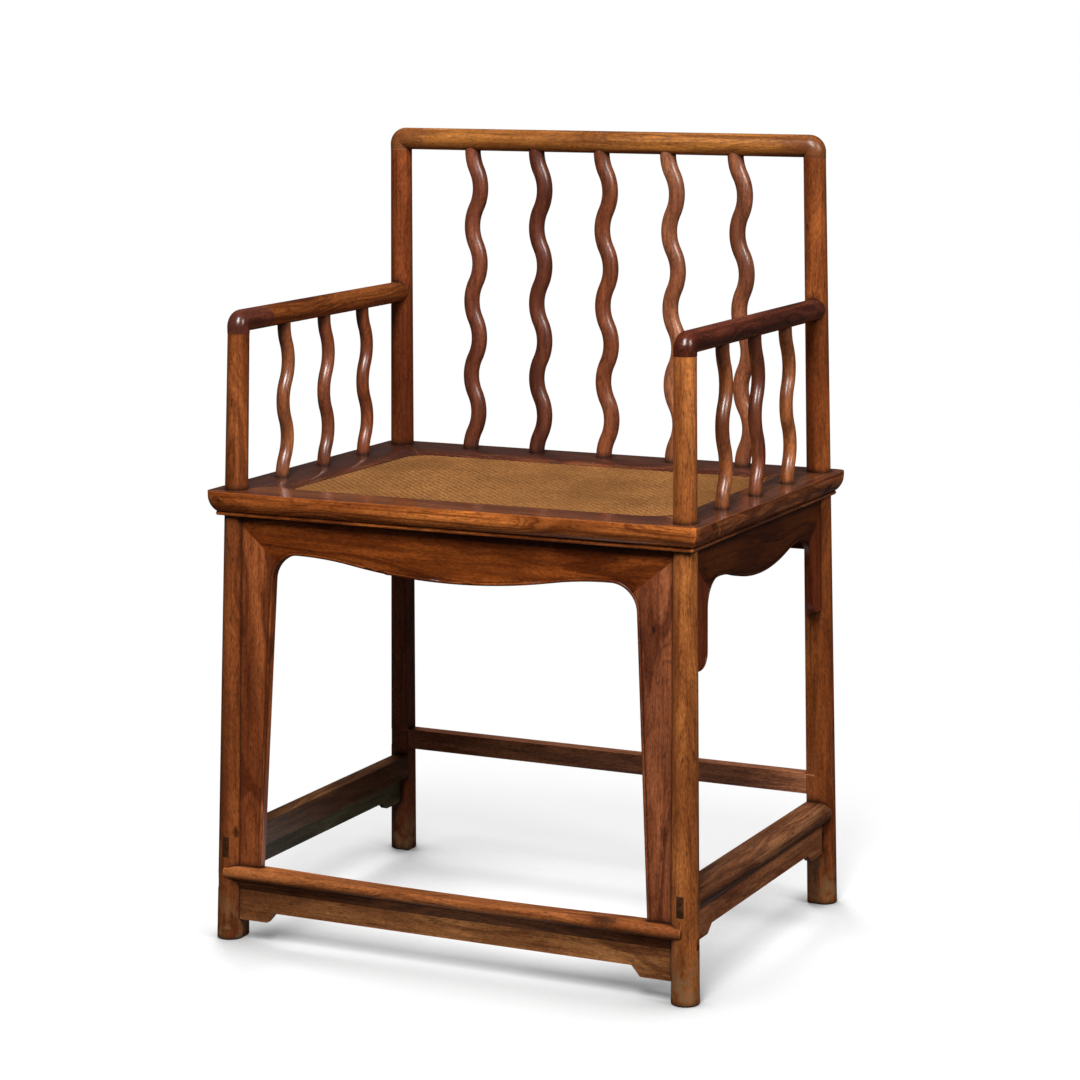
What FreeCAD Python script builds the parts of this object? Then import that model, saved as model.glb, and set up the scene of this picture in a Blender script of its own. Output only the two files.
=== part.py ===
import FreeCAD, Part
import math
import os
from types import SimpleNamespace

import Sketcher
from FreeCAD import Placement, Rotation, Vector

# A low-back armchair in hardwood, joined with mortises and tenons, with a cane mat seat.
# Origin: on the floor, under the middle of the chair. -Y is the front, +Z is up, and +X, called
# right, is on the right of a person who looks at the front. Sizes are in millimetres.
SIZES = {
    # Seat frame, measured over its outside, with its moulded edge and inner round-over
    "seat_width": 580,
    "seat_depth": 431,
    "seat_height": 502,
    "seat_frame_thickness": 27,
    "seat_rail_width": 64,
    "seat_corner_radius": 11,
    "seat_lip_height": 5,
    "seat_edge_tuck": 8.5,
    "seat_bead_height": 4.3,
    "seat_bead_relief": 1.2,
    "seat_bead_quirk": 0.7,
    "seat_inner_drop": 5,
    "seat_inner_round_width": 18,
    "seat_ledge_width": 14,
    "seat_tenon_inset": 43,
    "seat_tenon_width": 20,
    "seat_tenon_thickness": 12,
    "seat_tenon_depth": 9.5,
    # Mat, board and braces inside the seat frame
    "mat_thickness": 2,
    "mat_corner_radius": 28,
    "seat_board_thickness": 6,
    "brace_width": 30,
    "brace_height": 13,
    "brace_spacing": 150,
    "brace_tenon_width": 20,
    "brace_tenon_thickness": 7,
    "brace_tenon_length": 10,
    # Legs: each is one straight piece from the floor to the rail above it
    "post_inset_side": 25.1,
    "post_inset_front": 27,
    "post_inset_rear": 23.3,
    "foot_spread_side": 9.4,
    "foot_spread_front": 16,
    "foot_spread_rear": 9.3,
    "leg_foot_radius": 15.2,
    "front_post_top_radius": 11.8,
    "rear_post_top_radius": 12.4,
    "leg_square_relief": 0.5,
    "foot_chamfer": 1.5,
    "post_tenon_radius": 6,
    "post_tenon_length": 14,
    # Crest rail and arms
    "crest_height": 864.5,
    "crest_radius": 12.5,
    "arm_height": 684.6,
    "arm_radius": 12.1,
    "elbow_outer_radius": 19,
    "elbow_shoulder": 0.8,
    "arm_tenon_radius": 5,
    "arm_tenon_length": 16,
    "arm_splice_distance": 49,
    "arm_splice_angle": 30,
    "arm_splice_tenon_radius": 5,
    "arm_splice_tenon_length": 18,
    # Wavy spindles; a spread of 1 sets them at even spaces between the posts
    "back_spindle_radius": 9.1,
    "back_spindle_swing": 5.1,
    "back_spindle_spread_top": 0.952,
    "back_spindle_spread_base": 0.98,
    "arm_spindle_radius": 7.4,
    "arm_spindle_swing": 5.2,
    "arm_spindle_spread_top": 0.955,
    "arm_spindle_spread_base": 0.977,
    "spindle_pin_radius": 4,
    "spindle_pin_length": 10,
    # Aprons under the seat, with their uprights and drops
    "apron_thickness": 9,
    "side_apron_thickness": 6,
    "apron_face_proud": 6,
    "apron_depth": 40,
    "apron_lobe_drop": 16,
    "apron_corner_radius": 30,
    "apron_mitre_angle": 40,
    "front_apron_lobe_half": 118,
    "side_apron_lobe_half": 78,
    "upright_width_top": 53.6,
    "upright_width_foot": 40.5,
    "drop_width": 44,
    "drop_length": 130,
    "drop_round": 18,
    "rear_apron_depth": 63,
    "bead_radius": 1.6,
    "bead_margin": 0.3,
    "bead_sink": 0.4,
    "tongue_thickness": 3,
    "tongue_stop": 8,
    # Foot rail at the front and the apron under it
    "foot_rail_top": 84,
    "foot_rail_height": 27,
    "foot_rail_back": 4.5,
    "foot_rail_nose_proud": 2.5,
    "foot_rail_nose_height": 15,
    "foot_rail_overrun": 1.3,
    "foot_rail_wear_depth": 2.5,
    "foot_rail_wear_length": 420,
    "foot_rail_tenon_width": 8,
    "foot_rail_tenon_height": 14,
    "foot_rail_tenon_rise": 1.5,
    "skirt_thickness": 8,
    "skirt_end_length": 49,
    "foot_skirt_face_proud": 5.5,
    "foot_skirt_height": 22.5,
    "foot_skirt_end_drop": 11.5,
    "foot_skirt_step": 10,
    # Side and rear stretchers
    "side_stretcher_top": 121,
    "side_stretcher_height": 27,
    "side_stretcher_width": 28,
    "stretcher_inner_offset": 14.2,
    "side_tenon_height": 23,
    "stretcher_tenon_width": 8.4,
    "side_skirt_face_proud": 4.5,
    "side_skirt_height": 24,
    "side_skirt_end_drop": 9,
    "side_skirt_step": 12,
    "rear_stretcher_top": 153.5,
    "rear_stretcher_height": 23.5,
    "rear_stretcher_width": 26,
    "rear_tenon_height": 19,
    # Room around tenons and tongues, and the waste that is trimmed off blanks
    "joint_clearance": 0.1,
    "trim_waste": 3,
}

BACK_SPINDLE_COUNT = 5
BACK_SPINDLE_WAVES = 4
ARM_SPINDLES = ("front", "middle", "rear")
ARM_SPINDLE_WAVES = 2
LEFT, RIGHT, FRONT, REAR = -1, 1, -1, 1
LEGS = {
    (LEFT, FRONT): "front_leg_left",
    (RIGHT, FRONT): "front_leg_right",
    (LEFT, REAR): "rear_leg_left",
    (RIGHT, REAR): "rear_leg_right",
}

doc = FreeCAD.newDocument("low_back_armchair")
sheet = doc.addObject("Spreadsheet::Sheet", "Sizes")
for row, (alias, value) in enumerate(SIZES.items(), start=1):
    sheet.set(f"A{row}", alias)
    sheet.set(f"B{row}", str(value))
    sheet.setAlias(f"B{row}", alias)
doc.recompute()
dim = SimpleNamespace(**{alias: float(sheet.get(alias)) for alias in SIZES})

foot_half = (dim.seat_depth - dim.post_inset_front - dim.post_inset_rear
             + dim.foot_spread_front + dim.foot_spread_rear) / 2
seat_front = -foot_half + dim.foot_spread_front - dim.post_inset_front
seat_middle = seat_front + dim.seat_depth / 2
seat_underside = dim.seat_height - dim.seat_frame_thickness
rebate_depth = dim.seat_inner_drop + dim.mat_thickness + dim.seat_board_thickness
WORLD = Placement()
nodes = {}


# Helpers shared by all sub-parts

def keep(item, name):
    """Name a finished sub-part."""
    item.Label = name
    nodes[name] = item
    return item


def set_sizes(item, **values):
    """Set properties: text is bound to the sheet as an expression, a number is set as it is."""
    for name, value in values.items():
        if isinstance(value, str):
            item.setExpression(name, value)
        else:
            setattr(item, name, value)


def boolean(kind, name, base, tool):
    result = doc.addObject("Part::" + kind, name)
    result.Base = base
    result.Tool = tool
    return result


def cut(name, base, *tools):
    for tool in tools:
        base = boolean("Cut", name, base, tool)
    return base


def fuse(name, base, *tools):
    for tool in tools:
        base = boolean("Fuse", name, base, tool)
    return base


def common(name, base, tool):
    return boolean("Common", name, base, tool)


def block(name, frame, low, length, width, height):
    """A square block: its low corner in a frame, then its sizes along that frame."""
    item = doc.addObject("Part::Box", name)
    set_sizes(item, Length=length, Width=width, Height=height)
    item.Placement = frame.multiply(Placement(Vector(*low), Rotation()))
    return item


def rod(name, start, direction, radius, length):
    """A round pin from a start point along a direction."""
    item = doc.addObject("Part::Cylinder", name)
    set_sizes(item, Radius=radius, Height=length)
    item.Placement = Placement(start, Rotation(Vector(0, 0, 1), direction))
    return item


def floor_slab(name, height):
    """All the space of the chair from the floor to a height, for level trimming."""
    low = (-dim.seat_width, -dim.seat_depth, 0)
    return block(name, WORLD, low, "2 * Sizes.seat_width", "2 * Sizes.seat_depth", height)


def new_body(name, frame):
    body = doc.addObject("PartDesign::Body", name)
    body.Placement = frame
    return body


def new_sketch(body, role, name, offset=0.0):
    """A sketch on one of the body's own planes, moved along that plane's normal."""
    sketch = body.newObject("Sketcher::SketchObject", name)
    plane = next(item for item in body.Origin.OriginFeatures if item.Role == role)
    sketch.AttachmentSupport = (plane, "")
    sketch.MapMode = "FlatFace"
    sketch.AttachmentOffset = Placement(Vector(0, 0, offset), Rotation())
    return sketch


def datum(sketch, name, value, expression, kind, *where):
    """A dimension of a sketch, bound to the sheet."""
    index = sketch.addConstraint(Sketcher.Constraint(kind, *where, value))
    sketch.renameConstraint(index, name)
    sketch.setExpression("Constraints." + name, expression)


def pad(body, sketch, length, reverse=False):
    feature = body.newObject("PartDesign::Pad", "pad")
    feature.Profile = sketch
    feature.Reversed = reverse
    set_sizes(feature, Length=length)
    return feature


def pocket(body, sketch, length):
    """A pocket down from the top of a body that lies below its XY plane."""
    feature = body.newObject("PartDesign::Pocket", "pocket")
    feature.Profile = sketch
    set_sizes(feature, Length=length)
    return feature


def pipe(kind, body, profile, path):
    doc.recompute()
    feature = body.newObject("PartDesign::" + kind, "pipe")
    feature.Profile = profile
    feature.Spine = (path, [f"Edge{index + 1}" for index in range(path.GeometryCount)])
    return feature


def edge(points):
    """Two points make a line; three make an arc through the middle one."""
    return Part.LineSegment(*points) if len(points) == 2 else Part.Arc(*points)


def end_numbers(segment):
    """A segment's start and end point numbers; a sketch counts every arc anticlockwise."""
    clockwise = isinstance(segment, Part.ArcOfCircle) and segment.Axis.z < 0
    return (2, 1) if clockwise else (1, 2)


def draw(sketch, runs, closed=True):
    """Draw lines and arcs end to end and tie each end to the next start."""
    sketch.addGeometry([edge(points) for points in runs], False)
    segments = sketch.Geometry
    last = len(segments) if closed else len(segments) - 1
    for index in range(last):
        following = (index + 1) % len(segments)
        end = end_numbers(segments[index])[1]
        start = end_numbers(segments[following])[0]
        sketch.addConstraint(Sketcher.Constraint("Coincident", index, end, following, start))


def draw_polygon(sketch, points):
    draw(sketch, list(zip(points, points[1:] + points[:1])))


def draw_circle(sketch, centre, radius, expression):
    sketch.addGeometry(Part.Circle(centre, Vector(0, 0, 1), radius), False)
    datum(sketch, "radius", radius, expression, "Radius", 0)


def arc_points(centre, radius, start, end):
    """Start, middle and end point of an arc between two angles in radians."""
    def at(angle):
        return centre + Vector(radius * math.cos(angle), radius * math.sin(angle), 0)
    return at(start), at((start + end) / 2), at(end)


def draw_rounded_rectangle(sketch, width, depth, radius):
    """A rounded rectangle about the middle; each size is a pair of number and expression."""
    half_x = width[0] / 2
    half_y = depth[0] / 2
    corner = radius[0]
    starts = [Vector(half_x, 0, 0)]
    runs = []
    for turn, (sign_x, sign_y) in enumerate(((1, 1), (-1, 1), (-1, -1), (1, -1))):
        middle = Vector(sign_x * (half_x - corner), sign_y * (half_y - corner), 0)
        arc = arc_points(middle, corner, turn * math.pi / 2, (turn + 1) * math.pi / 2)
        runs += [(starts[-1], arc[0]), arc]
        starts.append(arc[2])
    runs.append((starts[-1], starts[0]))
    sketch.addGeometry([edge(points) for points in runs], False)
    last = len(runs) - 1
    for index in range(last):
        sketch.addConstraint(Sketcher.Constraint("Tangent", index, 2, index + 1, 1))
    sketch.addConstraint(Sketcher.Constraint("Coincident", last, 2, 0, 1))
    sketch.addConstraint(Sketcher.Constraint("PointOnObject", 0, 1, -1))
    for index, way in ((0, "Vertical"), (2, "Horizontal"), (4, "Vertical"), (6, "Horizontal"), (8, "Vertical")):
        sketch.addConstraint(Sketcher.Constraint(way, index))
    for index in (3, 5, 7):
        sketch.addConstraint(Sketcher.Constraint("Equal", 1, index))
    sketch.addConstraint(Sketcher.Constraint("Symmetric", 1, 3, 5, 3, -1, 1))
    datum(sketch, "width", width[0], width[1], "DistanceX", 4, 1, 0, 1)
    datum(sketch, "depth", depth[0], depth[1], "DistanceY", 6, 1, 2, 1)
    datum(sketch, "corner", corner, radius[1], "Radius", 1)


# Legs: where their axes run, and the round and square blanks that all other pieces fit

def axis_point(side, end, height):
    """The point of a leg's axis at a height; the leg spreads outwards below the seat."""
    share = height / dim.seat_height
    spread = dim.foot_spread_front if end == FRONT else dim.foot_spread_rear
    across = dim.seat_width / 2 - dim.post_inset_side + dim.foot_spread_side * (1 - share)
    return Vector(side * across, end * (foot_half - spread * share), height)


def joint_height(end):
    """Where a leg's shoulder meets the turned-down end of the arm or the crest rail."""
    if end == FRONT:
        return dim.arm_height - dim.arm_radius - dim.elbow_shoulder
    return dim.crest_height - dim.crest_radius - dim.elbow_shoulder


def post_top_radius(end):
    return dim.front_post_top_radius if end == FRONT else dim.rear_post_top_radius


def leg_radius(end, height):
    share = height / joint_height(end)
    return dim.leg_foot_radius + (post_top_radius(end) - dim.leg_foot_radius) * share


def round_blank(side, end):
    """The whole leg as a round taper, with waste at both ends."""
    low = axis_point(side, end, -dim.trim_waste)
    high = axis_point(side, end, joint_height(end) + dim.trim_waste)
    blank = doc.addObject("Part::Cone", LEGS[side, end] + "_round")
    top_radius = "front_post_top_radius" if end == FRONT else "rear_post_top_radius"
    set_sizes(blank, Radius1="Sizes.leg_foot_radius", Radius2="Sizes." + top_radius,
              Height=(high - low).Length)
    blank.Placement = Placement(low, Rotation(Vector(0, 0, 1), high - low))
    return blank


def square_blank(side, end):
    """Under the seat, the quarter of the leg that faces the middle of the chair is square."""
    low = axis_point(side, end, -dim.trim_waste)
    high = axis_point(side, end, seat_underside + dim.trim_waste)
    width = leg_radius(end, seat_underside) - dim.leg_square_relief
    foot_width = "Sizes.leg_foot_radius - Sizes.leg_square_relief"
    blank = doc.addObject("Part::Wedge", LEGS[side, end] + "_square")
    set_sizes(blank, Xmin=0, Ymin=0, Zmin=0, X2min=0, Z2min=0, Ymax=(high - low).Length,
              Xmax=foot_width, Zmax=foot_width, X2max=width, Z2max=width)
    inward_x = Vector(-side, 0, 0)
    inward_y = Vector(0, -end, 0)
    first, second = (inward_x, inward_y) if side == -end else (inward_y, inward_x)
    blank.Placement = Placement(low, Rotation(first, high - low, second, "YXZ"))
    return common(blank.Name + "_level", blank, under_seat)


def post_pin(side, end, room=0.0):
    """The round tenon on top of a leg, or its mortise with room around it."""
    top = axis_point(side, end, joint_height(end))
    axis = top - axis_point(side, end, 0)
    axis.normalize()
    length = f"Sizes.post_tenon_length + Sizes.trim_waste + {room}"
    radius = f"Sizes.post_tenon_radius + {room}"
    return rod(LEGS[side, end] + "_pin", top - axis * dim.trim_waste, axis, radius, length)


def leg_blank(side, end):
    """A leg cut level at the floor and at its shoulder, with the edge of its foot eased."""
    name = LEGS[side, end]
    rail = "arm" if end == FRONT else "crest"
    height = f"Sizes.{rail}_height - Sizes.{rail}_radius - Sizes.elbow_shoulder"
    level = common(name + "_level", leg_outer[side, end], floor_slab(name + "_slab", height))
    doc.recompute()
    eased = doc.addObject("Part::Chamfer", name + "_eased")
    eased.Base = level
    flat = [index for index, item in enumerate(level.Shape.Edges, start=1)
            if item.BoundBox.ZMax < dim.joint_clearance]
    eased.Edges = [(index, dim.foot_chamfer, dim.foot_chamfer) for index in flat]
    return fuse(name + "_shouldered", eased, post_pin(side, end))


under_seat = floor_slab("under_seat", "Sizes.seat_height - Sizes.seat_frame_thickness")
below_seat_top = floor_slab("below_seat_top", "Sizes.seat_height")
leg_round = {corner: round_blank(*corner) for corner in LEGS}
leg_outer = {corner: fuse(LEGS[corner] + "_outer", leg_round[corner], square_blank(*corner))
             for corner in LEGS}
legs = {corner: leg_blank(*corner) for corner in LEGS}


# The four upright faces under the seat: each lies in the plane of two leg axes

class Face:
    """A face's own frame: u runs across it, v up along it and n straight out of it."""

    def __init__(self, name, across, low_leg, high_leg):
        self.name = name
        self.across = across
        self.corners = {-1: low_leg, 1: high_leg}
        foot = axis_point(*high_leg, 0)
        rise = axis_point(*high_leg, dim.seat_height) - foot
        rise -= across * rise.dot(across)
        self.stretch = rise.Length / dim.seat_height
        self.up = rise.normalize()
        self.out = across.cross(self.up)
        origin = foot - across * foot.dot(across)
        self.place = Placement(origin, Rotation(self.across, self.up, self.out, "ZXY"))
        self.middle = (self.leg_across(-1, seat_underside) + self.leg_across(1, seat_underside)) / 2

    def leg_across(self, way, height):
        return axis_point(*self.corners[way], height).dot(self.across)

    def up_to(self, height):
        """The distance up along the face to a height above the floor."""
        return height * self.stretch

    def reach(self, way, up):
        """How far a leg's axis is from the face's middle, at a distance up the face."""
        return way * (self.leg_across(way, up / self.stretch) - self.middle)

    def point(self, way, away, up):
        """A sketch point at a distance from the face's middle towards one leg."""
        return Vector(self.middle + way * away, up, 0)


front_face = Face("front", Vector(1, 0, 0), (LEFT, FRONT), (RIGHT, FRONT))
right_face = Face("right", Vector(0, 1, 0), (RIGHT, FRONT), (RIGHT, REAR))
left_face = Face("left", Vector(0, -1, 0), (LEFT, REAR), (LEFT, FRONT))
rear_face = Face("rear", Vector(-1, 0, 0), (RIGHT, REAR), (LEFT, REAR))


def leg_end(corner):
    return "front" if corner[1] == FRONT else "rear"


def leg_side(corner):
    return "left" if corner[0] == LEFT else "right"


# Seat frame: one moulded ring, mitred into four rails at its corners

def seat_ring():
    """The whole ring: moulded outside, stepped inside for board and mat, rounded over to the mat."""
    body = new_body("seat_ring", Placement(Vector(0, seat_middle, dim.seat_height), Rotation()))
    outer = ((dim.seat_width, "Sizes.seat_width"), (dim.seat_depth, "Sizes.seat_depth"),
             (dim.seat_corner_radius, "Sizes.seat_corner_radius"))
    plan = new_sketch(body, "XY_Plane", "ring_plan")
    draw_rounded_rectangle(plan, *outer)
    pad(body, plan, "Sizes.seat_frame_thickness", reverse=True)

    route = new_sketch(body, "XY_Plane", "edge_route")
    draw_rounded_rectangle(route, *outer)
    profile = new_sketch(body, "XZ_Plane", "edge_profile")
    draw(profile, seat_edge_runs())
    pipe("SubtractivePipe", body, profile, route)

    opening = inner_rectangle("Sizes.seat_rail_width", dim.seat_rail_width, dim.mat_corner_radius,
                              "Sizes.mat_corner_radius")
    step = new_sketch(body, "XY_Plane", "rebate_plan")
    draw_rounded_rectangle(step, *opening)
    pocket(body, step, "Sizes.seat_inner_drop + Sizes.mat_thickness + Sizes.seat_board_thickness")

    ledge = dim.seat_rail_width + dim.seat_ledge_width
    hole = new_sketch(body, "XY_Plane", "hole_plan")
    draw_rounded_rectangle(hole, *inner_rectangle(
        "(Sizes.seat_rail_width + Sizes.seat_ledge_width)", ledge, dim.mat_corner_radius / 2,
        "Sizes.mat_corner_radius / 2"))
    pocket(body, hole, "Sizes.seat_frame_thickness + Sizes.trim_waste")

    inner_route = new_sketch(body, "XY_Plane", "round_over_route")
    draw_rounded_rectangle(inner_route, *opening)
    inner_profile = new_sketch(body, "XZ_Plane", "round_over_profile")
    draw(inner_profile, round_over_runs())
    pipe("SubtractivePipe", body, inner_profile, inner_route)
    return body


def inner_rectangle(inset_text, inset, radius, radius_text):
    """A rounded rectangle at an inset from the seat's outside."""
    return ((dim.seat_width - 2 * inset, f"Sizes.seat_width - 2 * {inset_text}"),
            (dim.seat_depth - 2 * inset, f"Sizes.seat_depth - 2 * {inset_text}"),
            (radius, radius_text))


def seat_edge_runs():
    """What the edge moulding removes: a lip, a convex tuck under it, a quirk and a bead."""
    outside = dim.seat_width / 2
    clear = outside + dim.trim_waste
    tuck_drop = (dim.seat_frame_thickness - dim.seat_lip_height - dim.seat_bead_height
                 - dim.seat_bead_quirk)
    radius = (dim.seat_edge_tuck ** 2 + tuck_drop ** 2) / (2 * dim.seat_edge_tuck)
    centre = Vector(outside - radius, -dim.seat_lip_height, 0)
    tuck = arc_points(centre, radius, 0, -math.asin(tuck_drop / radius))
    bead_wall = tuck[2].x - dim.seat_bead_relief
    bead_top = dim.seat_bead_height - dim.seat_frame_thickness
    bead = (Vector(bead_wall, bead_top, 0),
            Vector(tuck[2].x, bead_top - dim.seat_bead_height / 2, 0),
            Vector(bead_wall, -dim.seat_frame_thickness, 0))
    below = -dim.seat_frame_thickness - dim.trim_waste
    corners = [bead[2], Vector(bead_wall, below, 0), Vector(clear, below, 0),
               Vector(clear, -dim.seat_lip_height, 0), tuck[0]]
    return [tuck, (tuck[2], bead[0]), bead] + list(zip(corners, corners[1:]))


def round_over_runs():
    """What the inner round-over removes from the rail's top, down to the mat's level."""
    inside = dim.seat_width / 2 - dim.seat_rail_width
    drop = dim.seat_inner_drop
    width = dim.seat_inner_round_width
    radius = (width ** 2 + drop ** 2) / (2 * drop)
    centre = Vector(inside + width, -radius, 0)
    sweep = arc_points(centre, radius, math.pi / 2, math.pi / 2 + math.asin(width / radius))
    clear = inside - dim.trim_waste
    corners = [sweep[2], Vector(clear, -drop, 0), Vector(clear, dim.trim_waste, 0),
               Vector(inside + width, dim.trim_waste, 0), sweep[0]]
    return [sweep] + list(zip(corners, corners[1:]))


def mitre_prism(name, way_x, way_y):
    """The space of one rail between the two mitres at its ends, seen from above."""
    half_x = dim.seat_width / 2
    half_y = dim.seat_depth / 2
    reach = dim.seat_rail_width + dim.seat_ledge_width + dim.trim_waste
    near_x = half_x - reach
    near_y = half_y - reach
    if way_x:
        points = [(way_x * half_x, -half_y), (way_x * half_x, half_y),
                  (way_x * near_x, near_y), (way_x * near_x, -near_y)]
    else:
        points = [(-half_x, way_y * half_y), (half_x, way_y * half_y),
                  (near_x, way_y * near_y), (-near_x, way_y * near_y)]
    body = new_body(name, Placement(Vector(0, seat_middle, dim.seat_height), Rotation()))
    plan = new_sketch(body, "XY_Plane", name + "_plan")
    draw_polygon(plan, [Vector(x, y, 0) for x, y in points])
    pad(body, plan, "Sizes.seat_frame_thickness + Sizes.trim_waste", reverse=True)
    return body


def rail_tenon(side, end, room=0.0):
    """A through tenon of the front or rear rail, or its mortise in the side rail."""
    reach = dim.seat_rail_width + dim.seat_ledge_width
    width = dim.seat_tenon_width + 2 * room
    height = dim.seat_tenon_thickness + 2 * room
    inset = dim.seat_depth / 2 - dim.seat_tenon_inset - dim.seat_tenon_width / 2
    low_x = side * (dim.seat_width / 2 - reach / 2) - reach / 2 - room
    low_y = seat_middle + end * inset - width / 2
    low_z = dim.seat_height - dim.seat_tenon_depth - dim.seat_tenon_thickness - room
    raw = block(f"rail_tenon_{leg_end((side, end))}_{leg_side((side, end))}", WORLD,
                (low_x, low_y, low_z), reach + 2 * room, width, height)
    return raw if room else common(raw.Name + "_flush", raw, ring)


def brace_mortises(room):
    """The mortises for the braces' tenons, in the front and the rear rail."""
    return [brace_tenon(side, room) for side in (LEFT, RIGHT)]


def brace_tenon(side, room=0.0):
    """Both tenons of a brace as one bar through it, from rail to rail."""
    inset = dim.seat_rail_width + dim.seat_ledge_width - dim.brace_tenon_length
    length = dim.seat_depth - 2 * inset + 2 * room
    low = (side * dim.brace_spacing / 2 - dim.brace_tenon_width / 2 - room,
           seat_middle - length / 2,
           brace_top() - dim.brace_height / 2 - dim.brace_tenon_thickness / 2 - room)
    return block("brace_tenon_" + leg_side((side, 0)), WORLD, low,
                 f"Sizes.brace_tenon_width + 2 * {room}", length,
                 f"Sizes.brace_tenon_thickness + 2 * {room}")


def brace_top():
    return dim.seat_height - rebate_depth


def seat_brace(side):
    """A transverse brace under the seat board, tenoned into the front and rear rails."""
    name = "seat_brace_" + leg_side((side, 0))
    inset = dim.seat_rail_width + dim.seat_ledge_width
    low = (side * dim.brace_spacing / 2 - dim.brace_width / 2, seat_front + inset,
           brace_top() - dim.brace_height)
    bar = block(name + "_bar", WORLD, low, "Sizes.brace_width",
                "Sizes.seat_depth - 2 * (Sizes.seat_rail_width + Sizes.seat_ledge_width)",
                "Sizes.brace_height")
    keep(fuse(name, bar, brace_tenon(side)), name)


def seat_sheet(name, top, thickness):
    """A thin sheet that fills the rebate of the seat frame: the board or the mat."""
    body = new_body(name, Placement(Vector(0, seat_middle, top), Rotation()))
    plan = new_sketch(body, "XY_Plane", name + "_plan")
    draw_rounded_rectangle(plan, *inner_rectangle(
        "(Sizes.seat_rail_width + Sizes.joint_clearance)", dim.seat_rail_width + dim.joint_clearance,
        dim.mat_corner_radius, "Sizes.mat_corner_radius"))
    pad(body, plan, thickness, reverse=True)
    keep(body, name)


# Crest rail and arms: round bars whose ends turn down on to the posts

elbow_radius = {
    "crest": dim.elbow_outer_radius - dim.crest_radius,
    "arm": dim.elbow_outer_radius - dim.arm_radius,
}


def add_bar(body, kind, start, length):
    """A round bar along the body's X axis, at the height of the elbow's turn."""
    section = new_sketch(body, "YZ_Plane", kind + "_section", start)
    radius = getattr(dim, kind + "_radius")
    draw_circle(section, Vector(0, elbow_radius[kind], 0), radius, f"Sizes.{kind}_radius")
    pad(body, section, length)


def add_stub(body, kind, position, way):
    """The short end of a bar, turned down to stand on a post."""
    stub = new_sketch(body, "XY_Plane", kind + "_stub")
    centre = Vector(position + way * elbow_radius[kind], 0, 0)
    draw_circle(stub, centre, getattr(dim, kind + "_radius"), f"Sizes.{kind}_radius")
    pad(body, stub, f"2 * Sizes.{kind}_radius - Sizes.elbow_outer_radius + Sizes.elbow_shoulder",
        reverse=True)


def knuckle(name, frame, kind, position, way):
    """The turn between a bar and its stub: a quarter of the bar's round, turned about a line across it.

    The round starts at the bottom, so that its seam stays outside the quarter.
    """
    radius = getattr(dim, kind + "_radius")
    turn = elbow_radius[kind]
    rim = Vector(math.sqrt(radius ** 2 - turn ** 2), 0, 0)
    body = new_body(name + "_round", frame)
    section = new_sketch(body, "YZ_Plane", name + "_section", position)
    # The arc is drawn as a spline: it turns about a line closer to it than its own centre
    arc = Part.Arc(rim, Vector(0, -turn - radius, 0), -rim).toBSpline()
    section.addGeometry([arc, Part.LineSegment(-rim, rim)], False)
    turned = body.newObject("PartDesign::Revolution", name + "_turn")
    turned.Profile = section
    turned.ReferenceAxis = (section, ["H_Axis"])
    turned.Angle = 360
    reach = dim.elbow_outer_radius + dim.trim_waste
    corner = (position if way > 0 else position - reach, -reach, 0)
    return common(name, body, block(name + "_quarter", frame, corner, reach, 2 * reach, reach))


def crest_blank():
    joint = axis_point(RIGHT, REAR, joint_height(REAR))
    turn = elbow_radius["crest"]
    frame = Placement(Vector(0, joint.y, dim.crest_height - turn), Rotation())
    body = new_body("crest_bar", frame)
    half = joint.x - turn
    add_bar(body, "crest", -half, 2 * half)
    knuckles = []
    for way in (LEFT, RIGHT):
        add_stub(body, "crest", way * half, way)
        knuckles.append(knuckle("crest_knuckle_" + leg_side((way, 0)), frame, "crest", way * half, way))
    return fuse("crest_blank", body, *knuckles)


def arm_blank(side):
    """An arm from its elbow on the front post to the axis of the rear post."""
    joint = axis_point(side, FRONT, joint_height(FRONT))
    turn = elbow_radius["arm"]
    origin = Vector(joint.x, joint.y + turn, dim.arm_height - turn)
    frame = Placement(origin, Rotation(Vector(0, 0, 1), -90))
    name = leg_side((side, 0))
    body = new_body("arm_bar_" + name, frame)
    length = axis_point(side, REAR, dim.arm_height).y - origin.y
    add_bar(body, "arm", -length, length)
    add_stub(body, "arm", 0.0, 1)
    return fuse("arm_blank_" + name, body, knuckle("arm_knuckle_" + name, frame, "arm", 0.0, 1))


def arm_tenon(side, room=0.0):
    """The round tenon of an arm in the rear post."""
    radius = leg_radius(REAR, dim.arm_height)
    centre = axis_point(side, REAR, dim.arm_height)
    start = Vector(axis_point(side, FRONT, joint_height(FRONT)).x,
                   centre.y - radius - dim.trim_waste, dim.arm_height)
    return rod("arm_tenon_" + leg_side((side, 0)), start, Vector(0, 1, 0),
               f"Sizes.arm_tenon_radius + {room}", f"Sizes.arm_tenon_length + {room}")


def splice_space():
    """All the space in front of the left arm's splice, which slants across the arm."""
    joint = axis_point(LEFT, FRONT, dim.arm_height)
    point = Vector(joint.x, joint.y + dim.arm_splice_distance, dim.arm_height)
    frame = Placement(point, Rotation(Vector(0, 0, 1), dim.arm_splice_angle))
    reach = 2 * (dim.arm_splice_distance + dim.elbow_outer_radius)
    return block("splice_space", frame, (-reach / 2, -reach, -reach / 2), reach, reach, reach)


def splice_tenon(room=0.0):
    joint = axis_point(LEFT, FRONT, joint_height(FRONT))
    start = Vector(joint.x, joint.y + dim.arm_splice_distance - dim.arm_splice_tenon_length / 2 - room,
                   dim.arm_height)
    return rod("splice_tenon", start, Vector(0, 1, 0), f"Sizes.arm_splice_tenon_radius + {room}",
               f"Sizes.arm_splice_tenon_length + 2 * {room}")


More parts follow.
